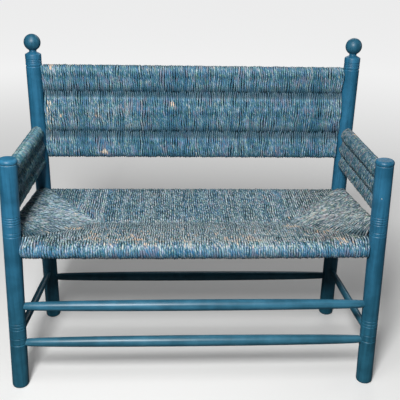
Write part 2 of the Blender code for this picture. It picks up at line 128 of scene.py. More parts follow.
class FrameSizes(bpy.types.PropertyGroup):
    """Where the posts stand and how the wood is turned."""

    width: length("Width", 0.957, "Between the axes of the rear posts")
    splay: length("Splay", 0.062, "How much wider the front posts stand at the floor than at the top")
    front_line: length("Front line", -0.19595, "Place of the front posts' axes, front to back")
    spacing: length("Spacing", 0.365, "From the front posts' axes to the rear ones at the floor")
    rake: length("Rake", 0.027, "How far the rear posts lean back by the height of the balls")
    post: length("Post", 0.047, "Diameter of a post")
    front_height: length("Front height", 0.698, "Height of a front post")
    rear_height: length("Rear height", 0.946, "Height of a rear post")
    cap: length("Cap", 0.0488, "Diameter of a front post's cap")
    cap_height: length("Cap height", 0.0125, "From the groove under the cap to its top")
    cap_dome: length("Cap dome", 0.0075, "Rounding of the cap's edge")
    ball: length("Ball", 0.0486, "Diameter of a rear post's ball")
    neck: length("Neck", 0.022, "Diameter of the neck under a ball")
    neck_length: length("Neck length", 0.0060, "Length of the neck under a ball")
    shoulder_slope: length("Shoulder slope", 0.0055, "How far a rear post's shoulder slopes down")
    ring_width: length("Ring width", 0.0030, "Width of a scribed ring")
    ring_depth: length("Ring depth", 0.0011, "Depth of a scribed ring")
    groove_width: length("Groove width", 0.0046, "Width of the deeper groove")
    groove_depth: length("Groove depth", 0.0019, "Depth of the deeper groove")
    rung_end: length("Rung end", 0.0205, "Diameter of a long rung at its ends")
    rung_middle: length("Rung middle", 0.032, "Diameter of a long rung at its middle")
    side_rung_end: length("Side rung end", 0.016, "Diameter of a side rung at its ends")
    side_rung_middle: length("Side rung middle", 0.0215, "Diameter of a side rung at its middle")
    front_rung_upper: length("Upper front rung", 0.265, "Height of the upper front rung's axis")
    front_rung_lower: length("Lower front rung", 0.145, "Height of the lower front rung's axis")
    rear_rung: length("Rear rung", 0.145, "Height of the rear rung's axis")
    side_rung_front: length("Side rung front", 0.166, "Height of a side rung's axis at the front")
    side_rung_rear: length("Side rung rear", 0.172, "Height of a side rung's axis at the rear")


class RushSizes(bpy.types.PropertyGroup):
    """How the rush cord is laid."""

    pitch: length("Pitch", 0.0063, "From one cord to the next")
    cord: length("Cord", 0.0066, "Diameter of the rush cord")
    rail: length("Rail", 0.029, "Diameter of the rails under the seat and back")
    arm_rail: length("Arm rail", 0.0265, "Diameter of the rails under the arms")
    seat_front: length("Seat front", 0.4375, "Height of the front seat rail's axis")
    seat_rear: length("Seat rear", 0.4415, "Height of the rear seat rail's axis")
    side_front: length("Side front", 0.485, "Height of a side seat rail's axis at the front")
    side_rear: length("Side rear", 0.4525, "Height of a side seat rail's axis at the rear")
    back_rails: FloatVectorProperty(
        name="Back rails", default=(0.838, 0.722, 0.592), unit="LENGTH", size=3, precision=3,
        description="Heights of the back rails' axes, top first"
    )
    arm_rails: FloatVectorProperty(
        name="Arm rails", default=(0.656, 0.609, 0.562), unit="LENGTH", size=3, precision=3,
        description="Heights of the arm rails' axes, top first"
    )
    apex_inset: length("Apex inset", 0.170, "From the seat's side to where its two mitres meet")
    seat_dip: length("Seat dip", 0.014, "How far the middle of the seat lies below the rails' axes")
    seat_thickness: length("Seat thickness", 0.016, "Thickness of the rush at the centre seam")
    seam_swell: length("Seam swell", 0.0100, "How far a mitre seam is stuffed up at its corner")
    corner_lift: length("Corner lift", 0.0080, "How far the last cords beside a post are pressed up")
    corner_reach: length("Corner reach", 0.0240, "How far from the corner the cords are pressed up")
    seat_sag: length("Seat sag", 0.0035, "How far the cords hang below the rails at mid-length")
    corner_thickness: length("Corner thickness", 0.036, "Thickness of the rush at the seat's corners")
    valley_lip: length("Valley lip", 0.0080, "How far cords stand out where they cross between rails")
    valley_overlap: length("Valley overlap", 0.0040, "How far cords reach past each other there")
    valley_turn: length("Valley turn", 0.0040, "Height over which a cord turns in to the middle there")
    wander: length("Wander", 0.0006, "How far a cord strays sideways from its line")
    ruffle: length("Ruffle", 0.0005, "How far a cord stands proud of its neighbours")
    twist: length("Twist", 0.065, "Length of cord in one full twist of its two strands")
    seat_cover: length("Seat cover", 0.0050, "How far the seat's stuffing lies under its surface")
    stuffing: length("Stuffing", 0.0008, "Thickness of the stuffing round a rail of the back or an arm")
    waist: length("Waist", 0.0035, "Half the thickness of the stuffing between two rails")
    cord_sides: IntProperty(
        name="Cord sides", default=6, min=5, max=12, description="Faces round a cord"
    )


class BenchColours(bpy.types.PropertyGroup):
    """Paint, rush and floor."""

    post_paint: colour("Post paint", (0.018, 0.138, 0.250), "Paint on the posts")
    rung_paint: colour("Rung paint", (0.030, 0.152, 0.260), "Paint on the rungs, rubbed brighter")
    worn_paint: colour("Worn paint", (0.160, 0.330, 0.420), "Paint where edges have rubbed thin")
    bare_wood: colour("Bare wood", (0.420, 0.270, 0.140), "Wood of the rails under the rush")
    # Painted shade: the dark colour laid in the gaps and creases between cords, on the stuffing behind
    # them and in the valleys of the back and arms. It is also the darkest fleck of full paint.
    deep_rush: colour("Deep rush", (0.013, 0.055, 0.085), "Painted rush down between the cords")
    blue_rush: colour("Blue rush", (0.045, 0.150, 0.230), "Painted rush where the paint is full")
    teal_rush: colour("Teal rush", (0.086, 0.232, 0.325), "Painted rush where the paint is thinner")
    keen_rush: colour("Keen rush", (0.020, 0.180, 0.380), "Painted rush in its brightest blue patches")
    shaded_rush: colour("Shaded rush", (0.045, 0.090, 0.110), "Faded rush in its dark flecks")
    grey_rush: colour("Grey rush", (0.125, 0.205, 0.235), "Faded rush in its darker half")
    faded_rush: colour("Faded rush", (0.245, 0.340, 0.365), "Faded rush in its paler half")
    # The pale and white rush at the light end of the flecks are partly worn fibres and partly painted
    # glints where the cords catch the light.
    pale_rush: colour("Pale rush", (0.385, 0.530, 0.570), "Fibres where the paint has rubbed pale")
    white_rush: colour("White rush", (0.600, 0.680, 0.710), "Fibres rubbed nearly white")
    mauve_rush: colour("Mauve rush", (0.290, 0.250, 0.290), "Rush that shows through thin paint")
    straw_rush: colour("Straw rush", (0.850, 0.790, 0.660), "Rush laid bare where the paint has gone")
    gold_rush: colour("Gold rush", (0.870, 0.600, 0.400), "Rush laid bare and handled")
    floor: colour("Floor", (0.800, 0.800, 0.790), "The floor")


# Finishes: paint, wood, rush and what is packed under it.


class Value:
    """A shader socket on which Python arithmetic adds Math nodes."""

    def __init__(self, finish, socket):
        self.finish = finish
        self.socket = socket

    def __add__(self, other):
        return self.finish.math("ADD", self, other)

    __radd__ = __add__

    def __mul__(self, other):
        return self.finish.math("MULTIPLY", self, other)

    __rmul__ = __mul__

    def __sub__(self, other):
        return self.finish.math("SUBTRACT", self, other)

    def __rsub__(self, other):
        return self.finish.math("SUBTRACT", other, self)

    def __truediv__(self, other):
        return self.finish.math("DIVIDE", self, other)

    def __rtruediv__(self, other):
        return self.finish.math("DIVIDE", other, self)


class Finish:
    """A material, with the nodes that colour it."""

    def __init__(self, name, roughness):
        self.material = bpy.data.materials.new(name)
        self.material.use_nodes = True
        self.tree = self.material.node_tree
        self.shader = self.tree.nodes["Principled BSDF"]
        self.shader.inputs["Roughness"].default_value = roughness

    def put(self, socket, value):
        """Gives a socket a link, a number, a vector or a colour."""
        if isinstance(value, Value):
            self.tree.links.new(value.socket, socket)
        elif isinstance(value, (int, float)):
            socket.default_value = value
        else:
            parts = list(value)
            if socket.type == "RGBA" and len(parts) == 3:
                parts.append(1.0)
            socket.default_value = parts

    def node(self, kind, settings, sockets, out):
        """Adds a node: its settings first, then its sockets. Returns the output named."""
        made = self.tree.nodes.new(kind)
        for name, value in settings.items():
            if name == "stops":
                self.set_stops(made.color_ramp, value)
            else:
                setattr(made, name, value)
        for name, value in sockets.items():
            self.put(made.inputs[name], value)
        return Value(self, made.outputs[out])

    def set_stops(self, ramp, stops):
        while len(ramp.elements) < len(stops):
            ramp.elements.new(1.0)
        for element, (place, shade) in zip(ramp.elements, stops):
            element.position = place
            element.color = (*shade, 1.0)

    def math(self, operation, first, second):
        return self.node("ShaderNodeMath", {"operation": operation}, {0: first, 1: second}, 0)

    def step(self, value, low, high):
        """0 below low, 1 above high and a smooth rise between."""
        settings = {"interpolation_type": "SMOOTHSTEP"}
        return self.node("ShaderNodeMapRange", settings, {"Value": value, 1: low, 2: high}, "Result")

    def mix(self, share, first, second, blend="MIX"):
        settings = {"data_type": "RGBA", "blend_type": blend}
        return self.node("ShaderNodeMix", settings, {0: share, 6: first, 7: second}, 2)

    def ramp(self, value, stops):
        return self.node("ShaderNodeValToRGB", {"stops": stops}, {"Fac": value}, "Color")

    def object_place(self, scale=(1.0, 1.0, 1.0)):
        place = self.node("ShaderNodeTexCoord", {}, {}, "Object")
        return self.node("ShaderNodeMapping", {}, {"Vector": place, "Scale": scale}, "Vector")

    def noise(self, place, scale, detail=2.0, roughness=0.5, out="Fac"):
        sockets = {"Vector": place, "Scale": scale, "Detail": detail, "Roughness": roughness}
        return self.node("ShaderNodeTexNoise", {}, sockets, out)

    def attribute(self, name, out):
        return self.node("ShaderNodeAttribute", {"attribute_name": name}, {}, out)

    def split(self, vector):
        made = self.tree.nodes.new("ShaderNodeSeparateXYZ")
        self.put(made.inputs[0], vector)
        return [Value(self, socket) for socket in made.outputs]

    def join(self, x, y, z):
        return self.node("ShaderNodeCombineXYZ", {}, {0: x, 1: y, 2: z}, 0)

    def bump(self, height, distance, strength=1.0):
        sockets = {"Height": height, "Distance": distance, "Strength": strength}
        self.feed("Normal", self.node("ShaderNodeBump", {}, sockets, "Normal"))

    def feed(self, name, value):
        self.put(self.shader.inputs[name], value)


def painted_wood(name, paint, worn, along_grain, roughness, chips=()):
    """Satin paint brushed on turned wood, mottled, and rubbed pale on its edges."""
    finish = Finish(name, roughness)
    finish.shader.inputs["Specular IOR Level"].default_value = 0.45
    place = finish.object_place()
    brushed = finish.object_place([4.0 if axis == along_grain else 130.0 for axis in range(3)])
    mottle = finish.noise(place, 16.0, 4.0, 0.6)
    streak = finish.noise(brushed, 1.0, 3.0, 0.55)
    grain = finish.noise(place, 420.0, 2.0)
    dark = [part * 0.74 for part in paint]
    light = [part * 1.22 + 0.006 for part in paint]
    shade = finish.mix(finish.step(mottle * 0.55 + streak * 0.45, 0.36, 0.64), dark, light)
    wear = finish.attribute("wear", "Fac")
    rubbed = finish.step(wear * 0.75 + mottle * 0.5 + grain * 0.2, 0.78, 1.05)
    shade = finish.mix(rubbed * 0.75, shade, worn)
    specks = finish.step(finish.noise(place, 70.0, 3.0, 0.7), 0.70, 0.78)
    scuff = specks * finish.step(mottle, 0.50, 0.66)
    shade = finish.mix(scuff * 0.45, shade, worn)
    # Paint is darker and less blue towards the floor, and where wear is below 0, as on the balls.
    _, _, height = finish.split(place)
    shade = finish.mix(1 - finish.step(height, 0.0, 0.60), shade, (1.0, 0.93, 0.80), "MULTIPLY")
    shade = finish.mix(finish.step(0 - wear, 0.0, 1.0), shade, (0.78, 0.66, 0.58), "MULTIPLY")
    for spot, radius in chips:
        ends = {0: place, 1: spot}
        away = finish.node("ShaderNodeVectorMath", {"operation": "DISTANCE"}, ends, "Value")
        chip = 1 - finish.step(away + (grain - 0.5) * radius, radius * 0.6, radius)
        shade = finish.mix(chip, shade, (0.80, 0.78, 0.70))
    finish.feed("Base Color", shade)
    finish.feed("Roughness", roughness + mottle * 0.10 + rubbed * 0.12)
    finish.bump(streak * 0.6 + grain * 0.15 + mottle * 0.5, 0.0006, 0.55)
    return finish.material


def plain_wood(name, tint):
    """Bare turned wood with its grain and growth rings."""
    finish = Finish(name, 0.7)
    place = finish.object_place((14.0, 14.0, 14.0))
    grain = finish.noise(place, 3.0, 5.0, 0.65)
    shade = finish.mix(finish.step(grain, 0.3, 0.7), [part * 0.7 for part in tint], tint)
    finish.feed("Base Color", shade)
    finish.bump(grain, 0.0004)
    return finish.material


class RushLook(NamedTuple):
    """How the painted rush of one panel differs from another's.

    contrast is between light and dark flecks, whose light end is partly painted glint, and
    stretch is how long they are along the cord. keenness is the strength of the brightest blue
    patches, bluing that of blue where the fading value is below 0, which is the paint's own on
    the seat's front face and painted shade in the valleys of the back and arms, and greying how
    much more of the paint is thin. cast is laid over the whole panel.
    """

    contrast: float
    stretch: float
    keenness: float
    bluing: float
    greying: float
    cast: tuple = (1.0, 1.0, 1.0)


SEAT_LOOK = RushLook(contrast=1.60, stretch=2.8, keenness=0.50, bluing=0.38, greying=0.0)
BACK_LOOK = RushLook(contrast=0.75, stretch=3.2, keenness=0.60, bluing=0.12, greying=0.02)
ARM_LOOK = RushLook(contrast=1.20, stretch=2.6, keenness=0.35, bluing=0.10, greying=0.06)
# The arms are cast greyer and browner, as their paint is. Beyond that the left arm is cast lighter and
# the right one darker: painted light on the left arm's shaded side and painted shade on the right arm's
# lit side.
ARM_LOOKS_WITH_PAINTED_LIGHT = {
    LEFT: ARM_LOOK._replace(cast=(0.80, 0.84, 0.76)),
    RIGHT: ARM_LOOK._replace(cast=(0.70, 0.64, 0.60)),
}


def rush_finish(name, colours, twist, look):
    """Twisted rush cord under worn paint.

    Each point of a cord carries how far it faces out of the panel, how worn its place is and
    a tone of the cord's own in "lay"; and the length along the cord, its fading and how
    golden its bare fibres are in "run". Below 0 the fading value stands for fuller paint, and
    in the valleys of the back and arms for painted shade.
    """
    finish = Finish(name, 0.5)
    outer, wear, tone = finish.split(finish.attribute("lay", "Vector"))
    along, fade_and_shade, golden = finish.split(finish.attribute("run", "Vector"))
    place = finish.object_place()
    around, _, _ = finish.split(finish.node("ShaderNodeUVMap", {"uv_map": "cord"}, {}, "UV"))
    coil = around + along / twist
    strand = finish.math("ABSOLUTE", finish.math("SINE", coil * math.tau, 0.0), 0.0)
    twisted = finish.join(coil * 0.020, along / look.stretch, tone * 7.0)
    fleck = finish.noise(twisted, 270.0, 2.0, 0.6)
    fine = finish.noise(twisted, 620.0, 1.0)
    hue = finish.noise(twisted, 110.0, 1.0)
    tint = finish.noise(twisted, 230.0, 2.0, 0.6, "Color")
    patch = finish.noise(place, 17.0, 2.0, 0.5)
    broad = finish.noise(place, 5.0, 2.0, 0.5)

    # The flecks are partly the paint's own unevenness and partly painted glints where the twisted cord
    # catches the light.
    flecks = (fleck - 0.5) * 1.15 + (fine - 0.5) * 0.5
    # Where the fading value is below 0 the paint is calmer, a little brighter and bluer. On the seat's
    # front face that is the paint's own; in the valleys of the back and arms it is painted shade.
    calm = finish.step(0 - fade_and_shade, 0.0, 1.0)
    level = flecks * look.contrast * (1 - calm * 0.5) + (tone - 0.5) * 0.14 + (patch - 0.5) * 0.25
    level = level + 0.5 + calm * 0.08 + wear * 0.14
    # Full paint and aged paint, each from its dark flecks to its pale ones.
    painted = [
        (0.22, colours.deep_rush), (0.38, colours.blue_rush), (0.54, colours.teal_rush),
        (0.70, colours.pale_rush), (0.84, colours.white_rush),
    ]
    aged = [
        (0.28, colours.shaded_rush), (0.40, colours.grey_rush), (0.52, colours.faded_rush),
        (0.62, colours.pale_rush), (0.72, colours.white_rush),
    ]
    fresh = finish.ramp(level, painted)
    faded = finish.ramp(level, aged)
    ageing = finish.step(fade_and_shade + (broad - 0.5) * 1.4 + (hue - 0.5) * 1.2 + (tone - 0.5) * 0.4, 0.1, 0.9)
    shade = finish.mix(ageing, fresh, faded)
    # Here and there the paint is a little redder or bluer, has a keen blue or shows the rush.
    red, green, blue = finish.split(tint)
    shade = finish.mix(0.8, shade, finish.join(red, green * 0.3 + 0.35, blue), "OVERLAY")
    keen = finish.step(patch + (hue - 0.5) * 0.4, 0.56, 0.68) * (1 - ageing) * look.keenness
    # Where the fading value is below 0, bluing lays on blue as well. In the valleys of the back and
    # arms that is painted shade.
    shade = finish.mix(keen + calm * look.bluing, shade, colours.keen_rush)
    mauve = finish.step(hue + (patch - 0.5) * 0.7 + look.greying, 0.60, 0.72)
    shade = finish.mix(mauve * 0.5, shade, colours.mauve_rush)
    bare = finish.step(fleck * 0.55 + hue * 0.45 + wear * 0.28 + (patch - 0.5) * 0.2, 0.74, 0.80)
    warm = finish.step(golden + (fleck - 0.5) * 2.0 + (tone - 0.5) * 0.8, 0.3, 1.1)
    bared = finish.mix(warm, colours.straw_rush, colours.gold_rush)
    shade = finish.mix(bare * 0.9, shade, bared)
    # Rush browns where it is handled most. Where the fading value is well below 0, in the valleys of
    # the back and arms, it is darkened towards the shadow colour: painted shade.
    tanned = finish.step(fade_and_shade + (hue - 0.5) * 0.8, 0.9, 1.7)
    shade = finish.mix(tanned, shade, (0.97, 0.82, 0.74), "MULTIPLY")
    shade = finish.mix(1.0, shade, look.cast, "MULTIPLY")
    shade = finish.mix(finish.step(0 - fade_and_shade, 0.8, 2.0) * 0.72, shade, colours.deep_rush)
    # The creases between the two strands are darkened, partly as pooled paint and partly as painted
    # shade. The sides of each cord, between it and its neighbours, are darkened as painted shade.
    shade = finish.mix(finish.step(strand, 0.0, 0.55) * 0.35 + 0.65, colours.deep_rush, shade)
    crown = finish.step(outer, ageing * 0.10 + 0.56, ageing * 0.06 + 0.90)
    shade = finish.mix(crown * 0.76 + 0.24, colours.deep_rush, shade)
    finish.feed("Base Color", shade)
    finish.feed("Roughness", 0.42 + fine * 0.14 + bare * 0.2)
    finish.bump(strand * 0.8 + fine * 0.4 + fleck * 0.4, 0.0014, 0.9)
    return finish.material


def stuffing_finish(name, tint):
    """The rush packed behind the cords, dark as painted shade between them."""
    finish = Finish(name, 0.9)
    place = finish.object_place()
    fibre = finish.noise(place, 260.0, 3.0, 0.7)
    shade = finish.mix(finish.step(fibre, 0.35, 0.7), [part * 0.35 for part in tint], tint)
    finish.feed("Base Color", shade)
    finish.bump(fibre, 0.0015)
    return finish.material


# Turned posts and rungs.


def front_axis(sizes, side, height):
    """Point on a front post's axis."""
    splay = sizes.splay * (1 - height / sizes.front_height)
    return Vector((side * (sizes.width + splay) / 2, sizes.front_line, height))


def rear_axis(sizes, side, height):
    """Point on a rear post's axis."""
    lean = sizes.rake * height / (sizes.rear_height - sizes.ball / 2)
    return Vector((side * sizes.width / 2, sizes.front_line + sizes.spacing + lean, height))


def turn_to(start, end):
    """Matrix that lays a piece's own Z on the line from start to end."""
    turn = (end - start).to_track_quat("Z", "Y").to_matrix().to_4x4()
    return Matrix.Translation(start) @ turn


def turned(profile, steps):
    """A shape turned about Z from (radius, place, wear) points that run from its top down."""
    shape = bmesh.new()
    wear = shape.verts.layers.float.new("wear")
    points = []
    for radius, place, worn in profile:
        point = shape.verts.new((radius, 0.0, place))
        point[wear] = worn
        points.append(point)
    edges = [shape.edges.new(pair) for pair in zip(points, points[1:])]
    bmesh.ops.spin(
        shape, geom=points + edges, cent=(0, 0, 0), axis=(0, 0, 1), angle=math.tau, steps=steps,
        use_merge=True
    )
    bmesh.ops.remove_doubles(shape, verts=shape.verts, dist=MERGE_DISTANCE)
    bmesh.ops.recalc_face_normals(shape, faces=shape.faces)
    return shape


def finished(name, shape, material, node):
    """The piece made of a shape, with its material and the node it stands for."""
    for face in shape.faces:
        face.smooth = True
    mesh = bpy.data.meshes.new(name)
    shape.to_mesh(mesh)
    shape.free()
    return placed(name, mesh, material, node)


def placed(name, mesh, material, node):
    """The piece made of a mesh."""
    mesh.materials.append(material)
    piece = bpy.data.objects.new(name, mesh)
    bpy.context.scene.collection.objects.link(piece)
    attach(piece, "root")
    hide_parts(node)
    return piece


def groove(radius, place, width, depth):
    """Points of one scribed ring, top to bottom, with its two lips rubbed."""
    half = width / 2
    # Rows of (radius, height from the ring's middle, wear above it, wear below it).
    lip = [
        (radius, half + 0.0012, 0.0, 0.0),
        (radius + 0.00012, half + 0.0004, 0.25, 0.5),
        (radius - depth * 0.15, half - 0.0003, 0.35, 0.5),
        (radius - depth * 0.85, half * 0.28, 0.0, 0.0),
    ]
    above = [(across, place + up, worn) for across, up, worn, _ in lip]
    below = [(across, place - up, worn) for across, up, _, worn in reversed(lip)]
    return above + [(radius - depth, place, 0.0)] + below


def shaft(sizes, top, rings, deep_ring):
    """Points of a post's shaft below its top: scribed rings, a deeper one and the chamfered foot."""
    radius = sizes.post / 2
    step = 0.05
    cuts = [(place, sizes.ring_width, sizes.ring_depth) for place in rings]
    cuts.append((deep_ring, sizes.groove_width, sizes.groove_depth))
    points = []
    last = top
    # Plain stretches have a point every step, so that wear is smooth along them.
    for place, width, depth in sorted(cuts, reverse=True):
        for i in range(1, int((last - place) / step) + 1):
            points.append((radius, last - i * step + 0.01, 0.05))
        points += groove(radius, place, width, depth)
        last = place
    for place in (0.10, 0.05, 0.02, 0.008):
        if place < last - 0.01:
            points.append((radius, place, 0.1))
    points += [(radius - 0.0002, 0.0038, 0.5), (radius - 0.0007, 0.0026, 0.8)]
    points += [(radius - 0.0028, 0.0002, 0.8), (radius - 0.0032, -0.0015, 0.3), (0.0, -0.0015, 0.0)]
    return points


def cap_points(sizes):
    """Points (radius, height, wear) of a front post's domed cap and the groove under it."""
    radius = sizes.cap / 2
    flat = radius - sizes.cap_dome
    top = sizes.front_height
    points = [(0.0, top, 0.1), (flat * 0.5, top - 0.0001, 0.1), (flat * 0.85, top - 0.0004, 0.15)]
    steps = 9
    for i in range(1, steps + 1):
        angle = math.pi / 2 * (1 - i / steps)
        across = flat + sizes.cap_dome * math.cos(angle)
        rise = sizes.cap_dome * math.sin(angle)
        points.append((across, top - sizes.cap_dome + rise, 0.35))
    bottom = top - sizes.cap_height
    post = sizes.post / 2
    return points + [
        (radius, bottom + 0.0022, 0.5),
        (radius - 0.0003, bottom + 0.0013, 1.0),
        (post - 0.0006, bottom + 0.0006, 0.3),
        (post - 0.0012, bottom, 0.0),
        (post - 0.0006, bottom - 0.0007, 0.2),
        (post, bottom - 0.0016, 0.9),
        (post, bottom - 0.0030, 0.1),
    ]


def ball_points(sizes):
    """Points of a rear post's ball, neck and shoulder, and the height of the shoulder."""
    radius = sizes.ball / 2
    centre = sizes.rear_height - radius
    neck = sizes.neck / 2
    end = -math.acos(neck / radius)
    points = []
    steps, shade = 20, -0.7
    for i in range(steps + 1):
        angle = math.pi / 2 + (end - math.pi / 2) * i / steps
        across = max(0.0, radius * math.cos(angle))
        points.append((across, centre + radius * math.sin(angle), shade))
    waist = points[-1][1]
    cone = waist - sizes.neck_length
    shoulder = cone - sizes.shoulder_slope
    post = sizes.post / 2
    points[0] = (0.0, sizes.rear_height, shade)
    points += [
        (neck + 0.0004, waist - 0.0006, 0.6),
        (neck + 0.0002, waist - 0.0013, 0.4),
        (neck - 0.0004, waist - 0.0020, 0.0),
        (neck - 0.0003, cone + 0.0012, 0.0),
        (neck + 0.0010, cone + 0.0002, 0.1),
        (post - 0.0050, shoulder + 0.0022, 0.2),
        (post - 0.0016, shoulder + 0.0004, 0.6),
        (post - 0.0004, shoulder - 0.0006, 0.7),
        (post, shoulder - 0.0022, 0.2),
    ]
    return points, shoulder


def rung_points(span, end, middle, steps=24):
    """Points of a rung that swells to its middle, along a span between two post surfaces."""
    points = [(0.0, span + RUNG_REACH, 0.0), (end / 2, span + RUNG_REACH, 0.0)]
    for i in range(steps + 1):
        angle = math.pi * i / steps
        radius = (end + (middle - end) * math.sin(angle)) / 2
        rubbed = 0.25 + 0.3 * math.sin(angle) if 0 < i < steps else 0.7
        points.append((radius, span * (1 + math.cos(angle)) / 2, rubbed))
    return points + [(end / 2, -RUNG_REACH, 0.0), (0.0, -RUNG_REACH, 0.0)]


def stand_on_floor(shape):
    """Trims a leaning post level at the floor and closes its foot."""
    geometry = shape.verts[:] + shape.edges[:] + shape.faces[:]
    cut = bmesh.ops.bisect_plane(
        shape, geom=geometry, plane_co=(0, 0, 0), plane_no=(0, 0, -1), clear_outer=True
    )
    rim = [item for item in cut["geom_cut"] if isinstance(item, bmesh.types.BMEdge)]
    bmesh.ops.contextual_create(shape, geom=rim)
    bmesh.ops.recalc_face_normals(shape, faces=shape.faces)


class BENCH_OT_posts(bpy.types.Operator):
    """Turn the four posts, with their caps, balls, rings and feet"""

    bl_idname = "bench.posts"
    bl_label = "Posts"

    def execute(self, context):
        sizes = context.scene.bench_frame
        colours = context.scene.bench_colours
        paint = painted_wood("post_paint", colours.post_paint, colours.worn_paint, 2, 0.38, CHIPS)
        ball, shoulder = ball_points(sizes)
        rear_rings = [shoulder - down for down in NECK_RINGS]
        front = cap_points(sizes) + shaft(sizes, sizes.front_height - 0.02, FRONT_RINGS, FOOT_GROOVE)
        rear = ball + shaft(sizes, shoulder - 0.01, rear_rings, shoulder - NECK_GROOVE)
        for word, side in SIDES:
            for name, points, axis in (("front", front, front_axis), ("rear", rear, rear_axis)):
                shape = turned(points, POST_FACES)
                place = turn_to(axis(sizes, side, 0.0), axis(sizes, side, 1.0))
                bmesh.ops.transform(shape, matrix=place, verts=shape.verts)
                stand_on_floor(shape)
                finished(f"{name}_post_{word}_turned", shape, paint, f"{name}_post_{word}")
        return {"FINISHED"}


class BENCH_OT_rungs(bpy.types.Operator):
    """Turn the front, rear and side rungs, which swell to the middle"""

    bl_idname = "bench.rungs"
    bl_label = "Rungs"

    def execute(self, context):
        sizes = context.scene.bench_frame
        colours = context.scene.bench_colours
        long_paint = painted_wood("rung_paint", colours.rung_paint, colours.worn_paint, 0, 0.30)
        side_paint = painted_wood("side_rung_paint", colours.rung_paint, colours.worn_paint, 1, 0.30)
        for name, axis in (
            ("front_rung_upper", front_axis), ("front_rung_lower", front_axis), ("rear_rung", rear_axis)
        ):
            start = axis(sizes, LEFT, getattr(sizes, name))
            end = axis(sizes, RIGHT, getattr(sizes, name))
            self.rung(sizes, name, start, end, sizes.rung_end, sizes.rung_middle, long_paint)
        for word, side in SIDES:
            start = front_axis(sizes, side, sizes.side_rung_front)
            end = rear_axis(sizes, side, sizes.side_rung_rear)
            name = f"side_rung_{word}"
            self.rung(sizes, name, start, end, sizes.side_rung_end, sizes.side_rung_middle, side_paint)
        return {"FINISHED"}

    def rung(self, sizes, name, start, end, end_size, middle_size, paint):
        """Turn one rung between the axes of two posts."""
        way = (end - start).normalized()
        first = start + way * sizes.post / 2
        span = (end - start).length - sizes.post
        shape = turned(rung_points(span, end_size, middle_size), RUNG_FACES)
        bmesh.ops.transform(shape, matrix=turn_to(first, first + way), verts=shape.verts)
        finished(f"{name}_turned", shape, paint, name)


class BENCH_OT_rails(bpy.types.Operator):
    """Finish the rails that the rush is wound on"""

    bl_idname = "bench.rails"
    bl_label = "Rails"

    def execute(self, context):
        wood = plain_wood("rail_wood", context.scene.bench_colours.bare_wood)
        names = [f"seat_rail_{word}" for word in ("front", "rear", "left", "right")]
        names += [f"back_rail_{place}" for place in PLACES]
        names += [f"arm_{word}_rail_{place}" for word, _ in SIDES for place in PLACES]
        for name in names:
            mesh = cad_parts[name].data
            mesh.materials.clear()
            mesh.materials.append(wood)
        return {"FINISHED"}


# Rush: the cords, how they are laid and where their paint is worn.


class Ripple:
    """A smooth field over two lengths, that varies between about -1 and 1."""

    def __init__(self, seed, waves=9):
        draw = np.random.default_rng(seed)
        turn = draw.uniform(0.0, math.tau, waves)
        pace = draw.uniform(0.5, 1.6, waves)
        self.across = pace * np.cos(turn)
        self.along = pace * np.sin(turn)
        self.start = draw.uniform(0.0, math.tau, waves)
        self.scale = math.sqrt(2.0 / waves)

    def at(self, across, along):
        waves = np.multiply.outer(across, self.across) + np.multiply.outer(along, self.along)
        return np.sin(waves * math.tau + self.start).sum(axis=-1) * self.scale


class HandLaid:
    """The small unevenness of the cords that are laid by hand in one panel."""

    def __init__(self, seed, rush):
        self.rush = rush
        self.draw = np.random.default_rng(seed)
        self.stray = Ripple(seed + 1)
        self.swell = Ripple(seed + 2)

    def cord(self, along, place, stray_place, tone):
        """How far a cord strays sideways and stands proud, and how thick it is, along its length.

        Neighbours stray and swell together, and each cord also wanders in its own way.
        """
        across = np.full(len(place), along)
        wave = self.stray.at(across / 0.050, stray_place)
        own = np.sin(place * math.tau / self.draw.uniform(0.05, 0.11) + self.draw.uniform(0, math.tau))
        shift = (wave * 2.0 + own * 0.45) * self.rush.wander
        proud = self.swell.at(across / 0.010, place / 0.05) * self.rush.ruffle
        thick = self.rush.cord / 2 * (1 + 0.07 * np.sin(place * math.tau / 0.043 + tone * 30))
        return shift, proud, thick


def evenly(path, values, count, crowding):
    """A path, the length along it and the values along it, taken again at count points.

    The points lie at one spacing, but closer together where crowding, from 0 up, says so.
    """
    steps = np.linalg.norm(np.diff(path, axis=0), axis=1)
    place = np.concatenate(([0.0], np.cumsum(steps)))
    crowded = np.concatenate(([0.0], np.cumsum(steps * (1 + (crowding[1:] + crowding[:-1]) / 2))))
    wanted = np.linspace(0.0, crowded[-1], count)
    table = np.column_stack((path, place, values))
    taken = np.column_stack([np.interp(wanted, crowded, column) for column in table.T])
    return taken[:, :3], taken[:, 3], taken[:, 4:]


def straight_cord(sides, rings):
    """A straight cord of radius 1 with a ring of corners at each whole height, mapped round it."""
    shape = bmesh.new()
    bmesh.ops.create_cone(
        shape, cap_ends=True, segments=sides, radius1=1.0, radius2=1.0, depth=rings - 1.0,
        matrix=Matrix.Translation((0, 0, (rings - 1) / 2))
    )
    long_edges = [edge for edge in shape.edges if abs(edge.verts[0].co.z - edge.verts[1].co.z) > 0.5]
    bmesh.ops.subdivide_edges(shape, edges=long_edges, cuts=rings - 2, use_grid_fill=True)
    mapped = shape.loops.layers.uv.new("cord")
    for face in shape.faces:
        face.smooth = True
        turns = [math.atan2(loop.vert.co.y, loop.vert.co.x) / math.tau % 1.0 for loop in face.loops]
        wraps = max(turns) - min(turns) > 0.5
        for loop, turn in zip(face.loops, turns):
            if wraps and turn < 0.5:
                turn += 1.0
            loop[mapped].uv = (turn, loop.vert.co.z)
    mesh = bpy.data.meshes.new("straight_cord")
    shape.to_mesh(mesh)
    shape.free()
    return mesh


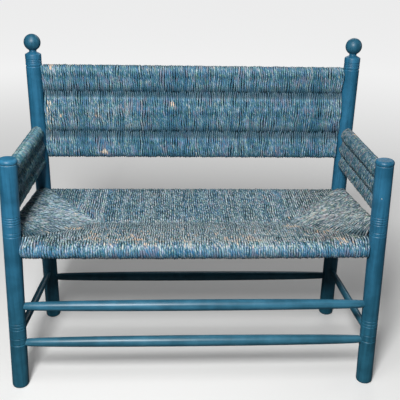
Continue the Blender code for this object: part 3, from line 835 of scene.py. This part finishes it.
def wound(name, cords, sides, material, node):
    """All the cords of one panel as a piece: copies of a straight cord, each bent along its path.

    A cord is (path, along, sideways, outward, thickness, wear, golden, fade, tone): arrays over
    its points, the way along the panel, and one number for its tone.
    """
    straight = straight_cord(sides, len(cords[0][0]))
    gathered = bmesh.new()
    for _ in cords:
        gathered.from_mesh(straight)
    mesh = bpy.data.meshes.new(name)
    gathered.to_mesh(mesh)
    gathered.free()
    corners = np.empty(len(straight.vertices) * 3)
    straight.vertices.foreach_get("co", corners)
    bpy.data.meshes.remove(straight)
    corners = corners.reshape(-1, 3)
    ring = np.rint(corners[:, 2]).astype(int)
    places = []
    lays = []
    runs = []
    for path, along, sideways, outward, thickness, wear, golden, fade_and_shade, tone in cords:
        onward = np.gradient(path, axis=0)
        onward /= np.linalg.norm(onward, axis=1, keepdims=True)
        upward = np.cross(onward, sideways)
        upward /= np.linalg.norm(upward, axis=1, keepdims=True)
        sideward = np.cross(upward, onward)
        way = corners[:, :1] * sideward[ring] + corners[:, 1:2] * upward[ring]
        places.append(path[ring] + way * thickness[ring][:, None])
        # How far each corner faces out of the panel. The finish darkens a cord's sides by it, as
        # painted shade.
        facing = 0.5 + 0.5 * (way * outward[ring]).sum(axis=1)
        lays.append(np.column_stack((facing, wear[ring], np.full(len(ring), tone))))
        runs.append(np.column_stack((along[ring], fade_and_shade[ring], golden[ring])))
    mesh.vertices.foreach_set("co", np.concatenate(places).ravel())
    for label, values in (("lay", lays), ("run", runs)):
        layer = mesh.attributes.new(label, "FLOAT_VECTOR", "POINT")
        layer.data.foreach_set("vector", np.concatenate(values).ravel())
    mesh.update()
    return placed(name, mesh, material, node)


def stuffed(name, depth, material, node):
    """The stuffing behind the cords, dark as painted shade: the panel's solid, drawn in under them."""
    shape = bmesh.new()
    shape.from_mesh(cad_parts[node].data)
    bmesh.ops.remove_doubles(shape, verts=shape.verts, dist=0.0001)
    bmesh.ops.recalc_face_normals(shape, faces=shape.faces)
    shape.normal_update()
    moves = [(point, point.normal * depth) for point in shape.verts]
    for point, move in moves:
        point.co -= move
    return finished(name, shape, material, node)


def packed(name, ends, radius, waist, material, node):
    """The stuffing of a wound panel, dark as painted shade: a loft between its ends, round its rails
    and in between.
    """
    shape = bmesh.new()
    rims = []
    steps = 6
    sideways = (ends[1][0] - ends[0][0]).normalized()
    for centres in ends:
        up = (centres[0] - centres[-1]).normalized()
        across = sideways.cross(up)
        outline = []
        for k, centre in enumerate(centres):
            for i in range(steps + 1):
                angle = math.pi * (0.5 - i / steps)
                out = across * radius * math.cos(angle) + up * radius * math.sin(angle)
                outline.append(centre + out)
            if k < len(centres) - 1:
                outline.append((centre + centres[k + 1]) / 2 + across * waist)
        mirrored = [
            point - across * 2 * (point - centres[-1]).dot(across) for point in outline[-2:0:-1]
        ]
        points = [shape.verts.new(point) for point in outline + mirrored]
        rims.append([shape.edges.new(pair) for pair in zip(points, points[1:] + points[:1])])
    bmesh.ops.bridge_loops(shape, edges=rims[0] + rims[1])
    for rim in rims:
        bmesh.ops.contextual_create(shape, geom=rim)
    bmesh.ops.recalc_face_normals(shape, faces=shape.faces)
    return finished(name, shape, material, node)


def figure_eight(heights, radius, lip, overlap, turn, roll_steps=9, cross_steps=24):
    """One turn of cord round rails at these heights, the top one first, crossing between them.

    The cord comes in to the lip before it crosses, and stays a little longer on the front.
    Rows of (across, up, way out across, way out up, advance in pitches, squeeze). A half turn
    round a rail takes roll_steps and a crossing takes cross_steps.
    """
    slants = [math.asin(min(0.98, 2 * radius / (a - b))) for a, b in zip(heights, heights[1:])]
    last = len(heights) - 1
    rows = []

    def roll(index, side, start, end, advance_start, advance_end):
        count = max(2, int(abs(end - start) / math.pi * roll_steps) + 1)
        for i in range(count + 1):
            share = i / count
            angle = start + (end - start) * share
            out = (side * math.cos(angle), math.sin(angle))
            advance = advance_start + (advance_end - advance_start) * share
            rows.append((out[0] * radius, heights[index] + out[1] * radius, *out, advance, 0.0))

    def cross(index, side, going):
        """Points strictly between the rolls on either side of a crossing."""
        slant = slants[index]
        upper = np.array([side * math.cos(slant), -math.sin(slant)])
        lower = -upper
        top = upper * radius + (0.0, heights[index])
        bottom = lower * radius + (0.0, heights[index + 1])
        ends = (top, upper, bottom, lower) if going < 0 else (bottom, lower, top, upper)
        half = (top[1] - bottom[1]) / 2
        for i in range(1, cross_steps):
            share = i / cross_steps
            point = ends[0] + (ends[2] - ends[0]) * share
            left = 1 - 2 * share
            held = lip + (abs(ends[0][0]) - lip) * abs(left)
            late = left * half + math.copysign(overlap, ends[0][0])
            point[0] = math.copysign(held * min(1.0, abs(late) / turn), ends[0][0] * late)
            squeeze = math.exp(-((late / (turn * 1.5)) ** 2))
            # Where cords cross, the way out is shortened a little, which deepens the painted shade on
            # their sides there.
            out = (ends[1] if late > 0 else ends[3]) * (1 - 0.12 * squeeze)
            rows.append((*point, *out, going * 0.25, squeeze))

    for i in range(last + 1):
        side = 1 if i % 2 == 0 else -1
        start = math.pi / 2 if i == 0 else slants[i - 1]
        end = -math.pi / 2 if i == last else -slants[i]
        roll(i, side, start, end, -0.5 if i == 0 else -0.25, 0.0 if i == last else -0.25)
        if i < last:
            cross(i, side, -1)
    for i in range(last, -1, -1):
        side = -1 if i % 2 == 0 else 1
        start = -math.pi / 2 if i == last else -slants[i]
        end = math.pi / 2 if i == 0 else slants[i - 1]
        roll(i, side, start, end, 0.0 if i == last else 0.25, 0.5 if i == 0 else 0.25)
        if i > 0:
            cross(i - 1, -side, 1)
    return np.array(rows)


def panel_cords(starts, ends, front, radius, rush, rings, seed, age_at):
    """Cords wound in figures of eight on rails that run from the starts to the ends.

    front is the side of the panel that shows. age_at gives how worn, golden and faded points are.
    """
    laid = HandLaid(seed, rush)
    draw = laid.draw
    starts = np.array(starts)
    ends = np.array(ends)
    span = np.linalg.norm(ends[0] - starts[0])
    count = int(span / rush.pitch)
    sideways = ends[0] - starts[0]
    sideways /= np.linalg.norm(sideways)
    cords = []
    for i in range(count):
        share = (i + 0.5) / count
        centres = starts + (ends - starts) * share
        up = centres[0] - centres[-1]
        up /= np.linalg.norm(up)
        across = np.cross(sideways, up)
        across *= math.copysign(1.0, across @ np.array(front))
        heights = [(centre - centres[-1]) @ up for centre in centres]
        overlap = rush.valley_overlap * draw.uniform(0.2, 1.9)
        rows = figure_eight(heights, radius, rush.valley_lip, overlap, rush.valley_turn)
        path = centres[-1] + rows[:, :1] * across + rows[:, 1:2] * up
        outward = rows[:, 2:3] * across + rows[:, 3:4] * up
        values = np.column_stack((outward, rows[:, 4:6]))
        path, place, values = evenly(path, values, rings, rows[:, 5] * 2.5)
        outward, lay = values[:, :3], values[:, 3:]
        front_side = np.sign((path - centres[-1]) @ across)
        tone = draw.uniform()
        shift, proud, thick = laid.cord(share * span, place, place / 0.075 + front_side * 3, tone)
        shift = shift + lay[:, 0] * rush.pitch
        proud = proud + draw.normal() * rush.ruffle * 0.4
        thick = thick * draw.uniform(0.98, 1.07) * (1 - 0.36 * lay[:, 1])
        path = path + sideways * shift[:, None] + outward * proud[:, None]
        cords.append((path, place, sideways, outward, thick, *age_at(path), tone))
    return cords


def tangent_angle(point, radius, side):
    """Angle at which cord from this point meets a roll about (0, 0), on one side of it."""
    reach = math.acos(min(1.0, radius / math.hypot(*point)))
    return math.atan2(point[1], point[0]) + side * reach


def round_rail(top, bottom, radius, hump):
    """A seat cord: up out of the seam, over its rail and back below.

    Rows of (inward, up, way out inward, way out up, crowding of points), about the rail's axis.
    """
    start = tangent_angle(top, radius, 1)
    end = tangent_angle(bottom, radius, -1) + math.tau
    leave = np.array((math.cos(start), math.sin(start))) * radius
    back = np.array((math.cos(end), math.sin(end))) * radius
    upward, downward = np.array((0.0, 1.0)), np.array((0.0, -1.0))
    rows = [
        (top[0] + SEAM_DIP_DEEP[0], top[1] + SEAM_DIP_DEEP[1], 0.6, 0.5, 1.0),
        (top[0] + SEAM_DIP[0], top[1] + SEAM_DIP[1], 0.7, 0.8, 1.0),
    ]
    steps = 12
    for i in range(steps + 1):
        share = i / steps
        point = np.array(top) + (leave - np.array(top)) * share
        lift = hump * 4 * share * (1 - share)
        out = upward + (leave / radius - upward) * share ** 2
        rows.append((point[0], point[1] + lift, *out, math.exp(-((share * steps / 1.3) ** 2))))
    for i in range(1, steps):
        angle = start + (end - start) * i / steps
        out = (math.cos(angle), math.sin(angle))
        rows.append((out[0] * radius, out[1] * radius, *out, 0.0))
    steps_below = 8
    for i in range(steps_below + 1):
        share = i / steps_below
        point = back + (np.array(bottom) - back) * share
        out = back / radius + (downward - back / radius) * share
        rows.append((*point, *out, 0.0))
    rows.append((bottom[0] + SEAM_DIP_BELOW[0], bottom[1] + SEAM_DIP_BELOW[1], 0.5, -0.5, 0.0))
    return np.array(rows)


class SeatShape:
    """The seat's rails, corners, apexes and seams."""

    def __init__(self, sizes, rush):
        self.sizes = sizes
        self.rush = rush
        self.roll = rush.rail / 2 + rush.cord
        self.corners = {
            (side, rear): self.corner(side, rear) for side in (LEFT, RIGHT) for rear in (False, True)
        }
        self.middle = (rush.seat_front + rush.seat_rear) / 2 - rush.seat_dip
        self.apexes = {side: self.apex(side) for side in (LEFT, RIGHT)}

    def corner(self, side, rear):
        """Where two gussets meet beside a post, at the height of the front or rear rail."""
        gap = self.sizes.post / 2 + SEAT_GAP
        if rear:
            across = rear_axis(self.sizes, side, self.rush.seat_rear).x - side * gap
            back = rear_axis(self.sizes, side, self.rush.side_rear - self.roll).y - gap
            return Vector((across, back, self.rush.seat_rear))
        across = front_axis(self.sizes, side, self.rush.seat_front + self.roll).x - side * gap
        return Vector((across, self.sizes.front_line + gap, self.rush.seat_front))

    def apex(self, side):
        """Where the two mitres of one side meet the centre seam."""
        front = self.corners[side, False]
        rear = self.corners[side, True]
        across = (front.x + rear.x) / 2 - side * self.rush.apex_inset
        return Vector((across, (front.y + rear.y) / 2, self.middle))

    def mitre(self, side, rear):
        """Points of a mitre seam from its corner to its apex, with the thickness there."""
        corner = self.corners[side, rear]
        apex = self.apexes[side]
        thinning = self.rush.seat_thickness - self.rush.corner_thickness
        points = []
        for share in (0.0, 0.25, 0.5, 0.75, 1.0):
            point = corner.lerp(apex, share)
            point.z += self.rush.seam_swell * (1 - share)
            points.append((*point, self.rush.corner_thickness + thinning * share))
        return points

    def seam(self, points, component, value):
        """The middle of the seam and its thickness where it comes level with a value of X or Y."""
        table = np.array(sorted(points, key=lambda point: point[component]))
        return [float(np.interp(value, table[:, component], table[:, k])) for k in range(4)]


def seat_cords(shape, word, rings, seed, age_at):
    """Cords of one of the seat's four gussets.

    The cords of the front and rear gussets lie one beside the other along X, and those of the
    left and right ones along Y: that is the component in which each finds its end in the seam.
    """
    sizes, rush = shape.sizes, shape.rush
    laid = HandLaid(seed, rush)
    draw = laid.draw
    up = np.array((0.0, 0.0, 1.0))
    if word in ("front", "rear"):
        rear = word == "rear"
        seam = shape.mitre(LEFT, rear) + shape.mitre(RIGHT, rear)
        axis, height = (rear_axis, rush.seat_rear) if rear else (front_axis, rush.seat_front)
        rail = (np.array(axis(sizes, LEFT, height)), np.array(axis(sizes, RIGHT, height)))
        inward = np.array((0.0, -1.0 if rear else 1.0, 0.0))
        component = 0
    else:
        side = dict(SIDES)[word]
        seam = shape.mitre(side, False) + shape.mitre(side, True)
        front_end = front_axis(sizes, side, rush.side_front)
        rear_end = rear_axis(sizes, side, rush.side_rear)
        rail = (np.array(front_end), np.array(rear_end))
        inward = np.array((-float(side), 0.0, 0.0))
        component = 1

    first = min(point[component] for point in seam)
    last = max(point[component] for point in seam)
    count = int(abs(last - first) / rush.pitch)
    sideways = rail[1] - rail[0]
    sideways /= np.linalg.norm(sideways)
    radius = (rush.rail + rush.cord) / 2
    cords = []
    for i in range(count):
        value = first + (last - first) * (i + 0.5) / count
        x, y, z, thickness = shape.seam(seam, component, value)
        share = (value - rail[0][component]) / (rail[1][component] - rail[0][component])
        centre = rail[0] + (rail[1] - rail[0]) * share
        depth = (np.array((x, y, z)) - centre) @ inward
        top = (depth, z + thickness / 2 - rush.cord / 2 - centre[2])
        bottom = (depth, z - thickness / 2 + rush.cord / 2 - centre[2])
        lift = SEAT_HUMPS[word]
        if word == "front":
            from_end = min(i + 0.5, count - i - 0.5) * rush.pitch
            lift += rush.corner_lift * max(0.0, 1 - from_end / rush.corner_reach)
        rows = round_rail(top, bottom, radius, lift)
        # The underside sags, most at mid-length.
        rows[:, 1] -= rush.seat_sag * (1 - (2 * share - 1) ** 2) * np.clip(-rows[:, 3], 0, 1)
        path = centre + rows[:, :1] * inward + rows[:, 1:2] * up
        outward = rows[:, 2:3] * inward + rows[:, 3:4] * up
        path, place, outward = evenly(path, outward, rings, rows[:, 4])
        tone = draw.uniform()
        shift, proud, thick = laid.cord(value, place, place / 0.07, tone)
        thick = thick * draw.uniform(0.96, 1.05) * (1 + 0.10 * np.clip(outward @ -inward, 0, 1))
        proud = proud + draw.normal() * rush.ruffle * 0.6
        path = path + sideways * shift[:, None] + outward * proud[:, None]
        # The first and the last cord also show the side that faces out of the gusset, which is kept
        # free of the painted shade laid on a cord's sides.
        bared = (i == count - 1) - (i == 0)
        facing = outward + sideways * bared * 0.7
        cords.append((path, place, sideways, facing, thick, *age_at(path), tone))
    return cords


# Where the paint has gone: (place, reach each way, how worn, how golden the bare rush is).
SEAT_SPOTS = (
    ((0.400, -0.182, 0.455), (0.034, 0.026, 0.03), 1.35, 0.8),
    ((0.450, -0.160, 0.455), (0.024, 0.022, 0.03), 0.6, 0.4),
    ((0.370, -0.110, 0.445), (0.070, 0.026, 0.03), 1.25, 0.5),
    ((0.280, -0.056, 0.445), (0.050, 0.016, 0.03), 1.35, 0.7),
    ((0.300, 0.020, 0.445), (0.030, 0.020, 0.03), 0.7, 0.6),
    ((0.345, -0.005, 0.450), (0.032, 0.020, 0.03), 1.10, 0.8),
    ((0.395, 0.015, 0.455), (0.030, 0.035, 0.03), 0.95, 0.8),
    ((0.450, -0.030, 0.460), (0.025, 0.012, 0.03), 0.6, 0.7),
    ((0.222, 0.140, 0.450), (0.012, 0.030, 0.03), 0.8, 0.8),
    ((-0.345, -0.078, 0.445), (0.048, 0.016, 0.03), 1.35, 0.7),
    ((-0.420, -0.122, 0.450), (0.055, 0.018, 0.03), 1.20, 0.4),
    ((-0.430, 0.040, 0.455), (0.045, 0.020, 0.03), 0.95, 0.5),
    ((-0.345, 0.010, 0.450), (0.030, 0.014, 0.03), 1.00, 0.5),
    ((-0.400, 0.000, 0.450), (0.050, 0.050, 0.03), 0.35, 0.3),
    ((-0.462, -0.175, 0.455), (0.016, 0.018, 0.03), 1.10, 0.9),
    ((-0.271, 0.085, 0.450), (0.010, 0.025, 0.03), 0.7, 0.5),
    ((-0.240, -0.205, 0.455), (0.060, 0.018, 0.02), 0.55, 0.4),
    ((-0.224, -0.149, 0.450), (0.025, 0.015, 0.03), 0.6, 0.8),
    ((-0.146, -0.190, 0.455), (0.030, 0.012, 0.03), 0.7, 0.9),
    ((0.000, -0.208, 0.452), (0.400, 0.008, 0.02), 0.35, 0.1),
)
BACK_SPOTS = (
    ((-0.429, 0.165, 0.853), (0.018, 0.04, 0.020), 1.1, 0.9),
    ((-0.439, 0.165, 0.700), (0.014, 0.04, 0.120), 1.00, 0.5),
    ((-0.407, 0.165, 0.705), (0.010, 0.04, 0.014), 1.1, 1.0),
    ((-0.300, 0.165, 0.700), (0.070, 0.04, 0.030), 0.5, 0.8),
    ((-0.170, 0.165, 0.690), (0.050, 0.04, 0.030), 0.45, 0.7),
    ((-0.068, 0.165, 0.745), (0.008, 0.04, 0.016), 1.2, 1.0),
    ((-0.019, 0.165, 0.736), (0.006, 0.04, 0.010), 1.2, 0.6),
    ((-0.145, 0.165, 0.848), (0.010, 0.04, 0.020), 0.9, 0.2),
    ((-0.145, 0.165, 0.812), (0.006, 0.04, 0.008), 1.2, 0.5),
    ((-0.278, 0.165, 0.825), (0.008, 0.04, 0.020), 0.6, 0.8),
    ((-0.279, 0.165, 0.594), (0.016, 0.04, 0.010), 1.0, 0.7),
    ((-0.158, 0.165, 0.594), (0.006, 0.04, 0.010), 1.0, 0.8),
)
ARM_SPOTS = {
    LEFT: (
        ((-0.480, -0.150, 0.675), (0.04, 0.050, 0.020), 0.3, 0.3),
        ((-0.470, -0.060, 0.625), (0.03, 0.015, 0.012), 0.9, 1.0),
    ),
    RIGHT: (
        ((0.480, -0.150, 0.675), (0.04, 0.050, 0.020), 0.3, 0.3),
        ((0.490, 0.085, 0.672), (0.02, 0.035, 0.020), 1.2, 0.7),
        ((0.470, 0.080, 0.560), (0.03, 0.050, 0.020), 0.5, 0.7),
    ),
}
# Where the back's paint is thin as a whole, and where it is full.
BACK_RUBBED = (((-0.26, 0.15, 0.715), (0.17, 0.09, 0.05), 0.6, 0),)
BACK_FULL = (((-0.102, 0.15, 0.703), (0.014, 0.09, 0.035), 1.0, 0),)


def rise(values, start, over):
    """0 up to a start and 1 from a length beyond it on, with an even rise between."""
    return np.clip((values - start) / over, 0, 1)


def worn_at(points, spots):
    """How worn and how golden points are, from spots of (place, reach, worn, golden)."""
    worn = np.zeros(len(points))
    golden = np.zeros(len(points))
    for place, reach, amount, gold in spots:
        away = np.linalg.norm((points - np.array(place)) / np.array(reach), axis=1)
        share = amount * np.exp(-(away ** 2))
        golden = np.where(share > worn, gold, golden)
        worn = np.maximum(worn, share)
    return worn, golden


def seat_age(points):
    """How worn, golden and faded the seat is at points."""
    across, back, height = points.T
    # crest is the top of the front roll, which is paler: worn there, and partly a painted highlight
    # along it.
    crest = rise(height, 0.445, 0.007) * rise(-back, 0.15, 0.03)
    forward = rise(-back, -0.02, 0.03)
    inner = rise(back, -0.19, 0.02)
    face = rise(-back, 0.206, 0.008)
    right = rise(across, 0.26, 0.1)
    middle = rise(-np.abs(across), -0.38, 0.08)
    top = 0.52 + 0.12 * forward + 0.15 * forward * middle + 0.8 * right
    fade_and_shade = 0.45 * crest + inner * top - 0.9 * face
    nearer = 0.04 + 0.38 * middle + 0.30 * middle * rise(-back, 0.05, 0.12)
    nearer -= 0.20 * rise(-back, 0.185, 0.02) * middle
    farther = 0.12 * rise(back, 0.09, 0.04)
    worn, golden = worn_at(points, SEAT_SPOTS)
    worn = np.maximum(worn, np.maximum(nearer * forward * (1 - face), farther * middle))
    return worn - 0.25 * (1 - middle), golden, fade_and_shade


def back_age(points, rails, bottom=0.50):
    """How worn, golden and faded the back is at points. Below each rail, down into the valley, it is
    darker, calmer and bluer: painted shade where each band turns under.
    """
    height = points[:, 2]
    below = np.zeros(len(points))
    for upper, lower in zip(rails, (*rails[1:], bottom)):
        share = (upper - height) / ((upper - lower) / 2)
        below = np.where((share > 0) & (share <= 1), share ** 1.4, below)
        past = (share > 1) & (share < 1.5)
        below = np.where(past, np.minimum(1.0, (1.5 - share) / 0.30), below)
    rubbed, _ = worn_at(points, BACK_RUBBED)
    full, _ = worn_at(points, BACK_FULL)
    edge = rise(height, 0.846, 0.008)
    # Below each rail the fading value falls under 0, which lays painted shade there.
    fade_and_shade = rubbed + 0.04 + 0.3 * edge - np.maximum(2.2 * below, full)
    worn, golden = worn_at(points, BACK_SPOTS)
    return np.maximum(worn, 0.3 * edge), golden, fade_and_shade


def arm_age(points, rails, side):
    """How worn, golden and faded an arm is at points. It is more faded higher up, but calmer and bluer
    along the top of its top roll. In the valley between two rails it is darker, calmer and bluer:
    painted shade.
    """
    height = points[:, 2]
    fade_and_shade = np.clip((height - 0.60) / 0.16, 0.1, 0.4) - 1.2 * rise(height, 0.655, 0.012)
    for upper, lower in zip(rails, rails[1:]):
        # The valleys between rails get painted shade.
        fade_and_shade -= 1.1 * np.exp(-(((height - (upper + lower) / 2) / 0.010) ** 2))
    return (*worn_at(points, ARM_SPOTS[side]), fade_and_shade)


class BENCH_OT_seat(bpy.types.Operator):
    """Weave the rush seat: four gussets that meet in mitres and a centre seam"""

    bl_idname = "bench.seat"
    bl_label = "Seat"

    def execute(self, context):
        scene = context.scene
        rush, colours = scene.bench_rush, scene.bench_colours
        shape = SeatShape(scene.bench_frame, rush)
        finish = rush_finish("seat_rush_paint", colours, rush.twist, SEAT_LOOK)
        stuffing = stuffing_finish("seat_stuffing", colours.deep_rush)
        for word, seed in SEAT_SEEDS.items():
            cords = seat_cords(shape, word, SEAT_CORD_RINGS, seed, seat_age)
            wound(f"seat_rush_{word}", cords, rush.cord_sides, finish, "seat_rush")
        stuffed("seat_stuffing", rush.seat_cover, stuffing, "seat_rush")
        return {"FINISHED"}


class BENCH_OT_back(bpy.types.Operator):
    """Wind the rush back in figures of eight on its three rails"""

    bl_idname = "bench.back"
    bl_label = "Back"

    def execute(self, context):
        scene = context.scene
        sizes, rush, colours = scene.bench_frame, scene.bench_rush, scene.bench_colours
        finish = rush_finish("back_rush_paint", colours, rush.twist, BACK_LOOK)
        stuffing = stuffing_finish("back_stuffing", colours.deep_rush)
        gap = sizes.post / 2 + PANEL_GAP
        ends = []
        for side in (LEFT, RIGHT):
            inward = Vector((-side * gap, 0.0, 0.0))
            ends.append([rear_axis(sizes, side, height) + inward for height in rush.back_rails])

        def age(points):
            return back_age(points, rush.back_rails)

        radius = (rush.rail + rush.cord) / 2
        cords = panel_cords(*ends, (0, -1, 0), radius, rush, BACK_CORD_RINGS, BACK_SEED, age)
        wound("back_rush_wound", cords, rush.cord_sides, finish, "back_rush")
        packed("back_stuffing", ends, rush.rail / 2 + rush.stuffing, rush.waist, stuffing, "back_rush")
        return {"FINISHED"}


class BENCH_OT_arms(bpy.types.Operator):
    """Wind the rush of the two arms in figures of eight on their rails"""

    bl_idname = "bench.arms"
    bl_label = "Arms"

    def execute(self, context):
        scene = context.scene
        sizes, rush, colours = scene.bench_frame, scene.bench_rush, scene.bench_colours
        stuffing = stuffing_finish("arm_stuffing", colours.deep_rush)
        gap = sizes.post / 2 + PANEL_GAP
        radius = (rush.arm_rail + rush.cord) / 2
        for word, side in SIDES:
            # The two arms' finishes differ only in their casts, the left lighter and the right darker:
            # painted light and shade.
            finish = rush_finish(f"arm_{word}_paint", colours, rush.twist, ARM_LOOKS_WITH_PAINTED_LIGHT[side])
            starts = []
            ends = []
            for height in rush.arm_rails:
                start = front_axis(sizes, side, height)
                end = rear_axis(sizes, side, height)
                way = (end - start).normalized()
                starts.append(start + way * gap)
                ends.append(end - way * gap)

            def age(points):
                return arm_age(points, rush.arm_rails, side)

            inward, seed = (-side, 0, 0), ARM_SEEDS[side]
            cords = panel_cords(starts, ends, inward, radius, rush, ARM_CORD_RINGS, seed, age)
            wound(f"arm_{word}_rush_wound", cords, rush.cord_sides, finish, f"arm_{word}_rush")
            depth = rush.arm_rail / 2 + rush.stuffing
            node = f"arm_{word}_rush"
            packed(f"arm_{word}_stuffing", (starts, ends), depth, rush.waist, stuffing, node)
        return {"FINISHED"}


# The floor, the lamps and the camera.


class BENCH_OT_stage(bpy.types.Operator):
    """Lay the floor and set up the lamps and the camera"""

    bl_idname = "bench.stage"
    bl_label = "Stage"

    def execute(self, context):
        scene = context.scene
        self.lay_floor(scene)
        self.set_lamps(scene)
        self.set_camera(scene)
        scene.view_settings.view_transform = "Standard"
        return {"FINISHED"}

    def lay_floor(self, scene):
        """A wide plain floor that turns pale away from the bench and keeps its shadow."""
        shape = bmesh.new()
        bmesh.ops.create_grid(shape, x_segments=1, y_segments=1, size=FLOOR_REACH)
        mesh = bpy.data.meshes.new("floor")
        shape.to_mesh(mesh)
        shape.free()
        finish = Finish("floor_paint", 0.9)
        tint = scene.bench_colours.floor
        seen = finish.node("ShaderNodeLightPath", {}, {}, "Is Camera Ray")
        # Seen by light it has its full colour. Seen by the camera it is dim, and glows instead.
        dim = [part * FLOOR_DIM for part in tint]
        finish.feed("Base Color", finish.mix(seen, dim, tint))
        place = finish.object_place()
        away = finish.node("ShaderNodeVectorMath", {"operation": "LENGTH"}, {0: place}, "Value")
        near, gain = FLOOR_GLOW
        glow = seen * (finish.step(away, *FLOOR_GLOW_REACH) * gain + near)
        finish.feed("Emission Color", finish.join(glow, glow, glow))
        finish.shader.inputs["Emission Strength"].default_value = 1.0
        mesh.materials.append(finish.material)
        floor = bpy.data.objects.new("floor", mesh)
        scene.collection.objects.link(floor)

    def set_lamps(self, scene):
        """Soft lamps, and a sky that lights little but looks pale."""
        world = bpy.data.worlds.new("studio")
        scene.world = world
        world.use_nodes = True
        nodes, links = world.node_tree.nodes, world.node_tree.links
        sky = nodes["Background"]
        sky.inputs["Color"].default_value = SKY_COLOUR
        seen = nodes.new("ShaderNodeLightPath")
        strength = nodes.new("ShaderNodeMath")
        strength.operation = "MULTIPLY_ADD"
        strength.inputs[1].default_value = SKY_SEEN
        strength.inputs[2].default_value = SKY_LIGHT
        links.new(seen.outputs["Is Camera Ray"], strength.inputs[0])
        links.new(strength.outputs["Value"], sky.inputs["Strength"])
        for name, place, size, power in LAMPS:
            self.lamp(scene, name, place, size, power)

    def lamp(self, scene, name, place, size, power):
        """A soft rectangular lamp that faces the bench."""
        light = bpy.data.lights.new(name, "AREA")
        light.shape = "RECTANGLE"
        light.size, light.size_y = size
        light.energy = power
        lamp = bpy.data.objects.new(name, light)
        away = Vector(place) - Vector(LAMP_TARGET)
        turn = away.to_track_quat("Z", "Y").to_matrix().to_4x4()
        lamp.matrix_world = Matrix.Translation(place) @ turn
        scene.collection.objects.link(lamp)

    def set_camera(self, scene):
        """The camera, turned by its yaw and pitch and then rolled about its own view."""
        yaw, pitch, roll = CAMERA_TURN
        forward = Vector(
            (math.sin(yaw) * math.cos(pitch), math.cos(yaw) * math.cos(pitch), -math.sin(pitch))
        )
        level = Vector((math.cos(yaw), -math.sin(yaw), 0.0))
        down = forward.cross(level)
        right = math.cos(roll) * level + math.sin(roll) * down
        down = math.cos(roll) * down - math.sin(roll) * level
        place = Matrix((right, -down, -forward)).transposed().to_4x4()
        place.translation = Vector(CAMERA_PLACE)
        lens = bpy.data.cameras.new("camera")
        lens.sensor_width = CAMERA_SENSOR
        lens.lens = CAMERA_LENS
        camera = bpy.data.objects.new("camera", lens)
        camera.matrix_world = place
        scene.collection.objects.link(camera)
        scene.camera = camera


class BENCH_PT_panel(bpy.types.Panel):
    """Pieces of the bench, with their sizes and colours"""

    bl_idname = "BENCH_PT_panel"
    bl_label = "Rush Bench"
    bl_space_type = "VIEW_3D"
    bl_region_type = "UI"
    bl_category = "Bench"

    def draw(self, context):
        for step in STEPS:
            self.layout.operator(step.bl_idname)
        for group in GROUPS:
            values = getattr(context.scene, group)
            for name in values.__annotations__:
                self.layout.prop(values, name)


STEPS = (
    BENCH_OT_posts,
    BENCH_OT_rungs,
    BENCH_OT_rails,
    BENCH_OT_seat,
    BENCH_OT_back,
    BENCH_OT_arms,
    BENCH_OT_stage,
)
GROUPS = {"bench_frame": FrameSizes, "bench_rush": RushSizes, "bench_colours": BenchColours}


def register():
    for item in (*GROUPS.values(), *STEPS, BENCH_PT_panel):
        bpy.utils.register_class(item)
    for name, group in GROUPS.items():
        setattr(bpy.types.Scene, name, PointerProperty(type=group))


def unregister():
    for name in GROUPS:
        delattr(bpy.types.Scene, name)
    for item in (BENCH_PT_panel, *reversed(STEPS), *reversed(GROUPS.values())):
        bpy.utils.unregister_class(item)


def main():
    register()
    bpy.ops.bench.posts()
    bpy.ops.bench.rungs()
    bpy.ops.bench.rails()
    bpy.ops.bench.seat()
    bpy.ops.bench.back()
    bpy.ops.bench.arms()
    bpy.ops.bench.stage()


if __name__ == "__main__":
    main()
